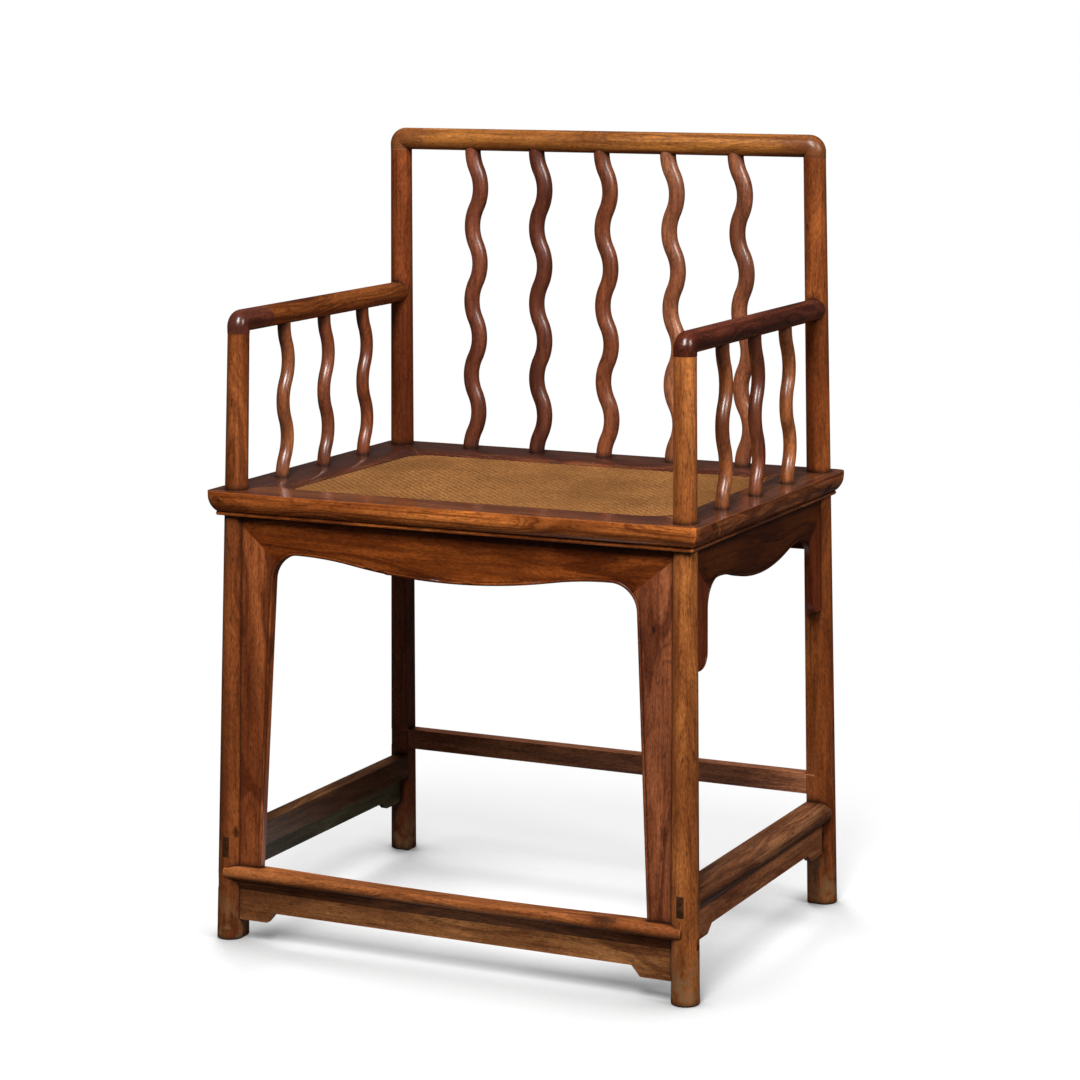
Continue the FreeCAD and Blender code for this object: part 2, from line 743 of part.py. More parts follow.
# Wavy spindles: a round section carried along tangent arcs

class Spindle:
    """A spindle's line from the seat rail's top to the axis of the rail above it."""

    def __init__(self, name, kind, rail, base, top, bulge, waves):
        self.name = name
        self.kind = kind
        self.rail_radius = getattr(dim, rail + "_radius")
        self.base = base
        self.length = (top - base).Length
        self.axis = (top - base).normalize()
        self.turn = Rotation(bulge, Vector(), self.axis, "ZXY")
        self.waves = waves

    def wave_runs(self):
        """Straight into each rail, and between them half-waves of two tangent arcs each."""
        swing = getattr(dim, self.kind + "_swing")
        half_wave = (self.length - self.rail_radius) / (2 * self.waves)
        radius = (swing ** 2 + (half_wave / 2) ** 2) / (2 * swing)
        angle = math.asin(half_wave / 2 / radius)
        runs = [(Vector(0, -dim.trim_waste, 0), Vector(0, 0, 0))]
        for index in range(2 * self.waves):
            way = 1 if index % 2 == 0 else -1
            low = Vector(0 if way > 0 else 2 * swing, index * half_wave, 0)
            high = Vector(2 * swing if way > 0 else 0, (index + 1) * half_wave, 0)
            lower = [low + Vector(way * radius * (1 - math.cos(part)), radius * math.sin(part), 0)
                     for part in (0, angle / 2, angle)]
            upper = [high - Vector(way * radius * (1 - math.cos(part)), radius * math.sin(part), 0)
                     for part in (angle, angle / 2, 0)]
            runs += [tuple(lower), tuple(upper)]
        runs.append((runs[-1][-1], Vector(0, self.length, 0)))
        return runs

    def blank(self):
        body = new_body(self.name + "_blank", Placement(self.base, self.turn))
        route = new_sketch(body, "XZ_Plane", self.name + "_route")
        draw(route, self.wave_runs(), closed=False)
        section = new_sketch(body, "XY_Plane", self.name + "_section", -dim.trim_waste)
        draw_circle(section, Vector(), getattr(dim, self.kind + "_radius"), f"Sizes.{self.kind}_radius")
        pipe("AdditivePipe", body, section, route)
        return body

    def pins(self, room=0.0):
        """The round tenons at both ends, or their mortises."""
        radius = f"Sizes.spindle_pin_radius + {room}"
        length = f"Sizes.spindle_pin_length + Sizes.trim_waste + {room}"
        low = self.base + self.axis * dim.trim_waste
        high = self.base + self.axis * (self.length - self.rail_radius - dim.trim_waste)
        return [rod(self.name + "_pin_base", low, -self.axis, radius, length),
                rod(self.name + "_pin_top", high, self.axis, radius, length)]

    def build(self, rail_above):
        coped = cut(self.name + "_coped", self.blank(), below_seat_top, rail_above)
        keep(fuse(self.name, coped, *self.pins()), self.name)


def back_spindles():
    spindles = []
    seat_joint = axis_point(RIGHT, REAR, dim.seat_height)
    crest_joint = axis_point(RIGHT, REAR, joint_height(REAR))
    for index in range(BACK_SPINDLE_COUNT):
        place = (2 * index + 1 - BACK_SPINDLE_COUNT) / (BACK_SPINDLE_COUNT + 1)
        base = Vector(place * seat_joint.x * dim.back_spindle_spread_base, seat_joint.y, dim.seat_height)
        top = Vector(place * crest_joint.x * dim.back_spindle_spread_top, crest_joint.y, dim.crest_height)
        spindles.append(Spindle(f"back_spindle_{index + 1}", "back_spindle", "crest", base, top,
                                Vector(1, 0, 0), BACK_SPINDLE_WAVES))
    return spindles


def arm_spindles(side):
    """Three spindles in the plane of the posts, about the middle between them."""
    spindles = []
    front_low, rear_low = (axis_point(side, end, dim.seat_height) for end in (FRONT, REAR))
    front_high, rear_high = (axis_point(side, end, dim.arm_height) for end in (FRONT, REAR))
    arm_line = axis_point(side, FRONT, joint_height(FRONT)).x
    for index, word in enumerate(ARM_SPINDLES):
        place = (2 * index + 1 - len(ARM_SPINDLES)) / (2 * len(ARM_SPINDLES) + 2)
        base = (front_low + rear_low) / 2 + (rear_low - front_low) * place * dim.arm_spindle_spread_base
        top = (front_high + rear_high) / 2 + (rear_high - front_high) * place * dim.arm_spindle_spread_top
        top.x = arm_line
        name = f"arm_spindle_{leg_side((side, 0))}_{word}"
        spindles.append(Spindle(name, "arm_spindle", "arm", base, top, Vector(0, 1, 0),
                                ARM_SPINDLE_WAVES))
    return spindles


# Aprons: shaped boards along the seat, mitred to uprights or drops along the legs

class ApronHalf:
    """One half of an apron's lower edge, from its middle to the inner edge of the upright."""

    def __init__(self, face, way, lobe_half, width_top, width_low, low_height):
        self.face = face
        self.way = way
        self.top = face.up_to(seat_underside)
        self.low = face.up_to(low_height)
        apex = self.top - dim.apron_depth
        inner_top = Vector(face.reach(way, self.top) - width_top, self.top, 0)
        self.inner_low = Vector(face.reach(way, self.low) - width_low, self.low, 0)
        self.down = (self.inner_low - inner_top).normalize()
        self.lean = math.asin(self.down.x)
        self.outward = Vector(math.cos(self.lean), math.sin(self.lean), 0)
        corner_up = apex - dim.apron_corner_radius
        corner_away = inner_top.x - (dim.apron_corner_radius + (corner_up - self.top)
                                     * math.sin(self.lean)) / math.cos(self.lean)
        self.corner = Vector(corner_away, corner_up, 0)
        radii = (corner_away ** 2 + dim.apron_lobe_drop ** 2) / (2 * dim.apron_lobe_drop)
        self.lobe_radius = radii * lobe_half / corner_away
        self.apex_radius = radii - self.lobe_radius
        self.lobe = Vector(0, apex - dim.apron_lobe_drop + self.lobe_radius, 0)
        self.apex = Vector(corner_away, apex - self.apex_radius, 0)
        self.inflection = math.asin(lobe_half / self.lobe_radius)
        self.mitre = math.radians(dim.apron_mitre_angle)

    def shaped_runs(self, inset=0.0):
        """Lobe, apex and corner arcs from the middle to the mitre, moved into the wood by an inset."""
        turn = math.pi / 2
        return [arc_points(self.lobe, self.lobe_radius - inset, -turn, self.inflection - turn),
                arc_points(self.apex, self.apex_radius + inset, turn + self.inflection, turn),
                arc_points(self.corner, dim.apron_corner_radius + inset, turn, self.mitre)]

    def corner_run(self, inset=0.0):
        """The rest of the corner arc, from the mitre to the upright's inner edge."""
        return arc_points(self.corner, dim.apron_corner_radius + inset, self.mitre, self.lean)

    def stop(self, up):
        """Where the tongue ends inside the leg, at a distance up the face."""
        return Vector(self.face.reach(self.way, up) - dim.tongue_stop, up, 0)

    def mitre_end(self):
        """Where the mitre, drawn on from the corner's arc, meets the tongue's end."""
        start = self.shaped_runs()[-1][-1]
        low_stop = self.stop(start.y)
        slope = (self.stop(self.top).x - low_stop.x) / (self.top - start.y)
        run = (low_stop.x - start.x) / (math.cos(self.mitre) - slope * math.sin(self.mitre))
        return start + Vector(run * math.cos(self.mitre), run * math.sin(self.mitre), 0)

    def apron_runs(self):
        """Half of the apron's outline: its lower edge, the mitre and the leg's side."""
        runs = self.shaped_runs()
        above = self.stop(self.top + dim.apron_depth)
        return runs + [(runs[-1][-1], self.mitre_end()), (self.mitre_end(), above)]

    def upright_runs(self, round_radius):
        """The outline of an upright or drop, with its lower inner corner rounded or square."""
        inner = self.inner_runs(0.0, round_radius)
        low_stop = self.stop(self.low)
        return inner + [(inner[-1][-1], low_stop), (low_stop, self.mitre_end()),
                        (self.mitre_end(), inner[0][0])]

    def inner_runs(self, inset, round_radius):
        """An upright's inner edge, from the mitre down and round its lower corner."""
        corner = self.corner_run(inset)
        if not round_radius:
            return [corner, (corner[-1], self.inner_low + self.outward * inset)]
        tangent = round_radius * math.tan((math.pi / 2 - self.lean) / 2)
        start = self.inner_low - self.down * tangent
        centre = start + self.outward * round_radius
        low = arc_points(centre, round_radius - inset, math.pi + self.lean, 3 * math.pi / 2)
        return [corner, (corner[-1], low[0]), low]

    def on_face(self, runs):
        """The same runs as sketch points on the face."""
        return [tuple(self.face.point(self.way, at.x, at.y) for at in points) for points in runs]


def backwards(runs):
    return [tuple(reversed(points)) for points in reversed(runs)]


def board(name, face, runs, proud, thickness):
    """A flat board of a face's outline, its outer side proud of the leg axes."""
    body = new_body(name, face.place)
    outline = new_sketch(body, "XY_Plane", name + "_outline", proud)
    draw(outline, runs)
    pad(body, outline, thickness, reverse=True)
    return body


def add_bead(body, runs, proud):
    """A fine half-round bead on a board's outer side, along its inner edge."""
    route = new_sketch(body, "XY_Plane", body.Name + "_bead_route", proud - dim.bead_sink)
    draw(route, runs, closed=False)
    section = body.newObject("Sketcher::SketchObject", body.Name + "_bead_section")
    doc.recompute()
    section.AttachmentSupport = [(route, "Edge1"), (route, "Vertex1")]
    section.MapMode = "NormalToEdge"
    draw_circle(section, Vector(), dim.bead_radius, "Sizes.bead_radius")
    pipe("AdditivePipe", body, section, route)


def tongued(name, face, runs, proud, thickness, ways, bead=None):
    """A board coped to its legs, with a tongue in each leg's groove."""
    whole = board(name + "_board", face, runs, proud, f"Sizes.{thickness}")
    if bead:
        add_bead(whole, bead, proud)
    middle = proud - (getattr(dim, thickness) - dim.tongue_thickness) / 2
    tongue = board(name + "_tongue", face, runs, middle, "Sizes.tongue_thickness")
    coped = cut(name + "_coped", whole, *[leg_outer[face.corners[way]] for way in ways])
    return fuse(name + "_tongued", coped, tongue)


def add_groove(face, way, low_height, high_height, proud, thickness):
    """A groove in a leg for the tongues of a face's boards, of a named thickness, between two heights."""
    room = dim.joint_clearance
    low = face.up_to(low_height) - room
    high = face.up_to(high_height) + room
    corner = face.corners[way]
    clear = 2 * dim.leg_foot_radius

    def at(away, up):
        return face.point(way, face.reach(way, up) - away, up)

    deep = dim.tongue_stop - room
    points = [at(deep, low), at(deep, high), at(clear, high), at(clear, low)]
    outer = proud - (getattr(dim, thickness) - dim.tongue_thickness) / 2 + room
    name = f"{LEGS[corner]}_groove_{face.name}"
    runs = list(zip(points, points[1:] + points[:1]))
    groove = board(name, face, runs, outer, f"Sizes.tongue_thickness + 2 * {room}")
    legs[corner] = cut(LEGS[corner] + "_grooved", legs[corner], groove)


def shaped_apron(name, face, thickness, lobe_half, width_top, width_low, low_height, round_radius, names):
    """An apron with an upright or a drop at each leg; names says what each of those is called."""
    proud = dim.apron_face_proud
    inset = dim.bead_radius + dim.bead_margin
    halves = {way: ApronHalf(face, way, lobe_half, width_top, width_low, low_height) for way in (-1, 1)}
    low, high = halves[-1], halves[1]
    low_runs = low.on_face(low.apron_runs())
    high_runs = high.on_face(high.apron_runs())
    runs = backwards(low_runs) + high_runs + [(high_runs[-1][-1], low_runs[-1][-1])]
    bead = backwards(low.on_face(low.shaped_runs(inset))) + high.on_face(high.shaped_runs(inset))
    keep(common(name, tongued(name, face, runs, proud, thickness, (-1, 1), bead), under_seat), name)
    for way, half in halves.items():
        upright_name = names[way]
        upright = half.on_face(half.upright_runs(round_radius))
        upright_bead = half.on_face(half.inner_runs(inset, round_radius))
        leg_board = tongued(upright_name, face, upright, proud, thickness, (way,), upright_bead)
        keep(common(upright_name, leg_board, under_seat), upright_name)
        add_groove(face, way, low_height, seat_underside, proud, thickness)


def seat_space():
    """The space of the seat frame, for trimming a board under it level."""
    low = (-dim.seat_width, -dim.seat_depth, seat_underside)
    return block("seat_space", WORLD, low, "2 * Sizes.seat_width", "2 * Sizes.seat_depth",
                 "Sizes.seat_frame_thickness")


def plain_apron(name, face, depth):
    """A straight board along the seat's underside, between two legs."""
    proud = dim.apron_face_proud
    low = face.up_to(seat_underside - depth)
    high = face.up_to(seat_underside + dim.trim_waste)
    points = []
    for way in (-1, 1):
        ends = [face.point(way, face.reach(way, up) - dim.tongue_stop, up) for up in (high, low)]
        points += ends if way < 0 else reversed(ends)
        add_groove(face, way, seat_underside - depth, seat_underside, proud, "apron_thickness")
    runs = list(zip(points, points[1:] + points[:1]))
    keep(cut(name, tongued(name, face, runs, proud, "apron_thickness", (-1, 1)), seat_space()), name)


def stepped_skirt(name, face, top, height, end_drop, step, proud):
    """An apron under a stretcher, deeper at its ends by a slanting step."""
    up = face.up_to(top)
    middle_low = up - height
    end_low = middle_low - end_drop
    halves = []
    for way in (-1, 1):
        end = face.reach(way, end_low) - dim.skirt_end_length
        points = [face.point(way, end - step, middle_low), face.point(way, end, end_low),
                  face.point(way, face.reach(way, end_low) - dim.tongue_stop, end_low),
                  face.point(way, face.reach(way, up) - dim.tongue_stop, up)]
        halves.append(points)
        # The groove runs out into the mortise of the stretcher above
        add_groove(face, way, end_low / face.stretch, top + dim.trim_waste, proud, "skirt_thickness")
    points = list(reversed(halves[0])) + halves[1]
    runs = list(zip(points, points[1:] + points[:1]))
    keep(tongued(name, face, runs, proud, "skirt_thickness", (-1, 1)), name)


# Stretchers: the foot rail laps the front legs, the others are coped between theirs

def foot_rail_blank(face):
    """The foot rail's section: flat top, half-round nose, and an undercut back to its apron."""
    top = face.up_to(dim.foot_rail_top)
    bottom = top - dim.foot_rail_height
    nose_radius = dim.foot_rail_nose_height / 2
    front = leg_radius(FRONT, dim.foot_rail_top) + dim.foot_rail_nose_proud
    centre = Vector(top - nose_radius, front - nose_radius, 0)
    nose = arc_points(centre, nose_radius, 0, math.pi)
    corners = [nose[2], Vector(bottom, dim.foot_skirt_face_proud, 0),
               Vector(bottom, -dim.foot_rail_back, 0), Vector(top, -dim.foot_rail_back, 0), nose[0]]
    half = face.reach(1, top) + dim.foot_rail_overrun
    body = new_body("foot_rail_blank", face.place)
    section = new_sketch(body, "YZ_Plane", "foot_rail_section", -half)
    draw(section, [nose] + list(zip(corners, corners[1:])))
    pad(body, section, 2 * half)
    return body


def foot_rail_wear(face):
    """Feet have worn the top of the foot rail hollow: a very large round, taken off its middle."""
    depth = dim.foot_rail_wear_depth
    radius = ((dim.foot_rail_wear_length / 2) ** 2 + depth ** 2) / (2 * depth)
    up = face.up_to(dim.foot_rail_top) - depth + radius
    reach = dim.leg_foot_radius + dim.foot_rail_nose_proud + dim.trim_waste
    start = face.place.multVec(Vector(0, up, -reach))
    return rod("foot_rail_wear", start, face.out, radius, 2 * reach)


def stretcher_blank(name, face, top, height, width):
    """A stretcher flat inside, above and below, and half round outside, between two leg axes."""
    high = face.up_to(top)
    radius = height / 2
    inner = -dim.stretcher_inner_offset
    round_line = inner + width - radius
    outer = arc_points(Vector(high - radius, round_line, 0), radius, 0, math.pi)
    corners = [outer[2], Vector(high - height, inner, 0), Vector(high, inner, 0), outer[0]]
    start, finish = (face.leg_across(way, top - radius) for way in (-1, 1))
    body = new_body(name + "_blank", face.place)
    section = new_sketch(body, "YZ_Plane", name + "_section", start)
    draw(section, [outer] + list(zip(corners, corners[1:])))
    pad(body, section, finish - start)
    return body


def through_tenon(name, face, way, bottom, height, width, room=0.0):
    """A tenon right through a leg, flush with its far side, or its mortise with room around it."""
    reach = 2 * dim.leg_foot_radius
    across = face.leg_across(way, bottom)
    raw = block(f"{name}_tenon", face.place, (across - reach, face.up_to(bottom) - room, -width / 2 - room),
                2 * reach, height + 2 * room, width + 2 * room)
    if room:
        return raw
    return common(raw.Name + "_flush", raw, leg_outer[face.corners[way]])


def add_tenons(name, face, bottom, height, width, rail):
    """Fuse a through tenon to each end of a rail and cut its mortise in the leg."""
    for way in (-1, 1):
        corner = face.corners[way]
        tenon = through_tenon(name, face, way, bottom, height, width)
        mortise = through_tenon(name, face, way, bottom, height, width, dim.joint_clearance)
        rail = fuse(name + "_tenoned", rail, tenon)
        legs[corner] = cut(LEGS[corner] + "_mortised", legs[corner], mortise)
    return rail


def stretcher(name, face, top, height, width, tenon_height):
    blank = stretcher_blank(name, face, top, height, width)
    coped = cut(name + "_coped", blank, *[leg_outer[corner] for corner in face.corners.values()])
    keep(add_tenons(name, face, top - height, tenon_height, dim.stretcher_tenon_width, coped), name)


def foot_rail(face):
    blank = foot_rail_blank(face)
    for corner in face.corners.values():
        legs[corner] = cut(LEGS[corner] + "_notched", legs[corner], blank)
    bottom = dim.foot_rail_top - dim.foot_rail_height + dim.foot_rail_tenon_rise
    worn = cut("foot_rail_worn", blank, foot_rail_wear(face))
    keep(add_tenons("foot_rail", face, bottom, dim.foot_rail_tenon_height, dim.foot_rail_tenon_width,
                    worn), "foot_rail")


# Assembly: the lower frame first, then the seat, the spindles, the arms and the crest rail

foot_rail(front_face)
stepped_skirt("foot_rail_apron", front_face, dim.foot_rail_top - dim.foot_rail_height,
              dim.foot_skirt_height, dim.foot_skirt_end_drop, dim.foot_skirt_step,
              dim.foot_skirt_face_proud)
for face in (left_face, right_face):
    stretcher("side_stretcher_" + face.name, face, dim.side_stretcher_top, dim.side_stretcher_height,
              dim.side_stretcher_width, dim.side_tenon_height)
    stepped_skirt("side_stretcher_apron_" + face.name, face,
                  dim.side_stretcher_top - dim.side_stretcher_height, dim.side_skirt_height,
                  dim.side_skirt_end_drop, dim.side_skirt_step, dim.side_skirt_face_proud)
stretcher("rear_stretcher", rear_face, dim.rear_stretcher_top, dim.rear_stretcher_height,
          dim.rear_stretcher_width, dim.rear_tenon_height)

shaped_apron("front_apron", front_face, "apron_thickness", dim.front_apron_lobe_half,
             dim.upright_width_top, dim.upright_width_foot, dim.foot_rail_top, 0,
             {way: "front_apron_upright_" + leg_side(front_face.corners[way]) for way in (-1, 1)})
drop_low = seat_underside - dim.drop_length
for face in (left_face, right_face):
    shaped_apron("side_apron_" + face.name, face, "side_apron_thickness", dim.side_apron_lobe_half,
                 dim.drop_width, dim.drop_width, drop_low, dim.drop_round,
                 {way: f"side_apron_{face.name}_drop_{leg_end(face.corners[way])}" for way in (-1, 1)})
plain_apron("rear_apron", rear_face, dim.rear_apron_depth)

ring = seat_ring()
backs = back_spindles()
arm_sets = {side: arm_spindles(side) for side in (LEFT, RIGHT)}
room = dim.joint_clearance
for end in (FRONT, REAR):
    name = "seat_rail_" + leg_end((0, end))
    rail = common(name + "_mitred", ring, mitre_prism(name + "_space", 0, end))
    rail = fuse(name + "_tenoned", rail, rail_tenon(LEFT, end), rail_tenon(RIGHT, end))
    rail = cut(name, rail, leg_round[LEFT, end], leg_round[RIGHT, end], *brace_mortises(room))
    if end == REAR:
        rail = cut(name, rail, *[spindle.pins(room)[0] for spindle in backs])
    keep(rail, name)
for side in (LEFT, RIGHT):
    name = "seat_rail_" + leg_side((side, 0))
    rail = common(name + "_mitred", ring, mitre_prism(name + "_space", side, 0))
    rail = cut(name, rail, leg_round[side, FRONT], leg_round[side, REAR],
               rail_tenon(side, FRONT, room), rail_tenon(side, REAR, room))
    keep(cut(name, rail, *[spindle.pins(room)[0] for spindle in arm_sets[side]]), name)
    seat_brace(side)
seat_sheet("seat_board", dim.seat_height - dim.seat_inner_drop - dim.mat_thickness,
           "Sizes.seat_board_thickness")
seat_sheet("cane_mat", dim.seat_height - dim.seat_inner_drop, "Sizes.mat_thickness")

crest = crest_blank()
for spindle in backs:
    spindle.build(crest)
crest_sockets = [spindle.pins(room)[1] for spindle in backs]
crest_sockets += [post_pin(side, REAR, room) for side in (LEFT, RIGHT)]
keep(cut("crest_rail", crest, *crest_sockets), "crest_rail")

for side in (LEFT, RIGHT):
    arm = arm_blank(side)
    for spindle in arm_sets[side]:
        spindle.build(arm)
    name = "armrest_" + leg_side((side, 0))
    arm = cut(name + "_coped", arm, leg_round[side, REAR])
    arm = cut(name + "_socketed", arm, post_pin(side, FRONT, room),
              *[spindle.pins(room)[1] for spindle in arm_sets[side]])
    arm = fuse(name + "_tenoned", arm, arm_tenon(side))
    legs[side, REAR] = cut(LEGS[side, REAR] + "_armed", legs[side, REAR], arm_tenon(side, room))
    if side == LEFT:
        front_space = splice_space()
        elbow = common(name + "_elbow_cut", arm, front_space)
        keep(cut(name + "_elbow", elbow, splice_tenon(room)), name + "_elbow")
        arm = fuse(name + "_spliced", cut(name + "_cut", arm, front_space), splice_tenon())
    keep(arm, name)

for corner, name in LEGS.items():
    keep(legs[corner], name)

# Check every object, then write each sub-part

doc.recompute()
for item in doc.Objects:
    if "Invalid" in item.State or "Error" in item.State:
        raise RuntimeError(f"{item.Label} failed: {item.State}")
for name, item in nodes.items():
    shape = item.Shape
    if shape.isNull() or not shape.isValid() or len(shape.Solids) != 1:
        raise RuntimeError(f"{name} is not one valid solid")
os.makedirs("parts", exist_ok=True)
for name, item in nodes.items():
    item.Shape.exportStep(f"parts/{name}.step")
print(f"{len(nodes)} sub-parts written")
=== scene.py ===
import math

import bmesh
import bpy
from mathutils import Euler, Matrix, Vector


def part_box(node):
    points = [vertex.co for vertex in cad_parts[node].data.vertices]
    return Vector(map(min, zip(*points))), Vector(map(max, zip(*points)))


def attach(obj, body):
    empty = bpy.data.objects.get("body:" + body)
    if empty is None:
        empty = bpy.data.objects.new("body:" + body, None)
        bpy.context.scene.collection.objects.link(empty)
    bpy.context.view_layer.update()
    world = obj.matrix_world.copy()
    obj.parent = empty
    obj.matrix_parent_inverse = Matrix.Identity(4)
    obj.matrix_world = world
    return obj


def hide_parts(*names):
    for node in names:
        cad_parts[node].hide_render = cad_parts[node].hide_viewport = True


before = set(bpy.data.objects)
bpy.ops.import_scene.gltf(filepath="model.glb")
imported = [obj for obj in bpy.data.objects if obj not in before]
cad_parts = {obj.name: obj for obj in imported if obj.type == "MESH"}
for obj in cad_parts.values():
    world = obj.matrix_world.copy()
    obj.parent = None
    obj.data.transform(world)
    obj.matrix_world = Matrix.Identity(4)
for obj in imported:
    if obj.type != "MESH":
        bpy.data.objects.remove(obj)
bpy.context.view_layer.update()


# Legs
# Four straight, tapered, splayed legs of hardwood. Each runs from the floor through the seat frame
# and goes on above it as an arm post or a back post. Turned round, waxed and rubbed by long use.

def wire(tree, socket, value):
    """Link a socket to an output, or set its own value."""
    if isinstance(value, bpy.types.NodeSocket):
        tree.links.new(value, socket)
    else:
        socket.default_value = value


def node(tree, kind, feeds, out=0, **settings):
    """Add a shader node, feed its inputs by name or number, and return one of its outputs."""
    made = tree.nodes.new("ShaderNode" + kind)
    for name, value in settings.items():
        setattr(made, name, value)
    for key, value in feeds.items():
        wire(tree, made.inputs[key], value)
    return made.outputs[out]


def math_node(tree, operation, *values):
    """One sum on values or outputs, in the order of its inputs."""
    return node(tree, "Math", dict(enumerate(values)), operation=operation)


def mix_colour(tree, factor, first, second):
    """The second colour laid over the first by a factor from 0 to 1."""
    return node(tree, "Mix", {"Factor": factor, 6: first, 7: second}, out=2, data_type="RGBA")


def smooth_step(tree, value, low, high):
    """A soft step: 0 at the low value, 1 at the high one."""
    feeds = {"Value": value, "From Min": low, "From Max": high}
    return node(tree, "MapRange", feeds, interpolation_type="SMOOTHSTEP")


def new_group(name, inputs, outputs):
    """A shader node group with named sockets: its tree, what comes in and what goes out."""
    tree = bpy.data.node_groups.new(name, "ShaderNodeTree")
    for label, kind, value in inputs:
        socket = tree.interface.new_socket(label, in_out="INPUT", socket_type="NodeSocket" + kind)
        if value is not None:
            socket.default_value = value
    for label, kind in outputs:
        tree.interface.new_socket(label, in_out="OUTPUT", socket_type="NodeSocket" + kind)
    return tree, tree.nodes.new("NodeGroupInput").outputs, tree.nodes.new("NodeGroupOutput").inputs


def use_group(tree, group, feeds):
    """Place a node group in a material and return its outputs by name."""
    placed = tree.nodes.new("ShaderNodeGroup")
    placed.node_tree = group
    for key, value in feeds.items():
        wire(tree, placed.inputs[key], value)
    return placed.outputs


def srgb(red, green, blue):
    """A colour as it is seen on a screen, from 0 to 255, as linear light."""
    parts = [value / 255 for value in (red, green, blue)]
    return [p / 12.92 if p <= 0.04045 else ((p + 0.055) / 1.055) ** 2.4 for p in parts] + [1.0]


def make_figure_group():
    """Hardwood cut along its grain, which runs along Z: uneven growth rings, broad light and dark
    patches, fine streaks and short dark pores."""
    tree, given, result = new_group(
        "hardwood_figure",
        [("Vector", "Vector", None), ("Tone", "Color", None),
         ("Figure", "Float", 0.5), ("Streaks", "Float", 0.4)],
        [("Color", "Color"), ("Roughness", "Float"), ("Height", "Float")])

    def noise(across, along, detail, out=0):
        scale = Vector((across, across, along))
        stretched = node(tree, "VectorMath", {0: given["Vector"], 1: scale}, operation="MULTIPLY")
        feeds = {"Vector": stretched, "Scale": 1.0, "Detail": detail, "Roughness": 0.6}
        return node(tree, "TexNoise", feeds, out=out)

    def bend(vector, across, along, reach):
        middle = Vector((0.5, 0.5, 0.5))
        drift = noise(across, along, 2.0, out=1)
        push = node(tree, "VectorMath", {0: drift, 1: middle}, operation="SUBTRACT")
        push = node(tree, "VectorMath", {0: push, "Scale": reach}, operation="SCALE")
        return node(tree, "VectorMath", {0: vector, 1: push}, operation="ADD")

    def tinted(red, green, blue):
        tint = Vector((red, green, blue))
        return node(tree, "VectorMath", {0: given["Tone"], 1: tint}, operation="MULTIPLY")

    bent = bend(bend(given["Vector"], 16, 3.4, 0.10), 60, 10, 0.008)
    bent = node(tree, "VectorMath", {0: bent, 1: Vector((1.0, 1.0, 0.0))}, operation="MULTIPLY")
    radius = node(tree, "VectorMath", {0: bent}, out="Value", operation="LENGTH")
    rings = node(tree, "TexNoise", {"W": radius, "Scale": 110.0, "Detail": 4.0, "Roughness": 0.65},
                 noise_dimensions="1D")
    late_wood = smooth_step(tree, rings, 0.42, 0.66)
    patch = noise(24, 4.5, 3.0)
    deep = smooth_step(tree, noise(15, 3.0, 4.0), 0.46, 0.70)
    streak = smooth_step(tree, noise(230, 7.0, 3.0), 0.46, 0.70)
    pore = smooth_step(tree, noise(680, 80, 1.0), 0.61, 0.72)
    fleck = noise(640, 220, 1.0)

    light = tinted(1.95, 2.25, 2.30)
    dark = tinted(0.28, 0.20, 0.23)
    darkest = tinted(0.12, 0.08, 0.10)
    colour = mix_colour(tree, smooth_step(tree, patch, 0.38, 0.64), given["Tone"], light)
    colour = mix_colour(tree, math_node(tree, "MULTIPLY", deep, given["Figure"]), colour, dark)
    colour = mix_colour(tree, math_node(tree, "MULTIPLY", late_wood, given["Figure"]), colour, dark)
    colour = mix_colour(tree, math_node(tree, "MULTIPLY", streak, given["Streaks"]), colour, dark)
    colour = mix_colour(tree, math_node(tree, "MULTIPLY", pore, 0.6), colour, darkest)
    fleck = math_node(tree, "MULTIPLY_ADD", fleck, 1.3, 0.35)
    colour = node(tree, "VectorMath", {0: colour, "Scale": fleck}, operation="SCALE")
    wire(tree, result["Color"], colour)
    rough = math_node(tree, "MULTIPLY", pore, 0.12)
    wire(tree, result["Roughness"], math_node(tree, "MULTIPLY_ADD", patch, 0.08, rough))
    height = math_node(tree, "MULTIPLY_ADD", pore, -0.7, 0.7)
    wire(tree, result["Height"], math_node(tree, "MULTIPLY_ADD", late_wood, 0.3, height))
    return tree


def make_age_group():
    """Long use: old wax and dirt where pieces meet, and edges rubbed pale. The darkening where pieces
    meet also stands for the shade in corners, joints and under overhangs: painted shade.
    """
    tree, given, result = new_group(
        "age", [("Grime And Shade Reach", "Float", 0.010), ("Edge Reach", "Float", 0.0025)],
        [("Grime And Shade", "Float"), ("Rubbed", "Float")])

    def hidden(reach, low, high, **settings):
        open_part = node(tree, "AmbientOcclusion", {"Distance": reach}, out=1, samples=6, **settings)
        return smooth_step(tree, math_node(tree, "SUBTRACT", 1.0, open_part), low, high)

    dust_and_shade = hidden(given["Grime And Shade Reach"], 0.08, 0.46)
    line = math_node(tree, "MULTIPLY", hidden(given["Edge Reach"], 0.03, 0.14), 0.85)
    wire(tree, result["Grime And Shade"], math_node(tree, "MAXIMUM", dust_and_shade, line))
    wire(tree, result["Rubbed"], hidden(given["Edge Reach"], 0.12, 0.6, inside=True, only_local=True))
    return tree


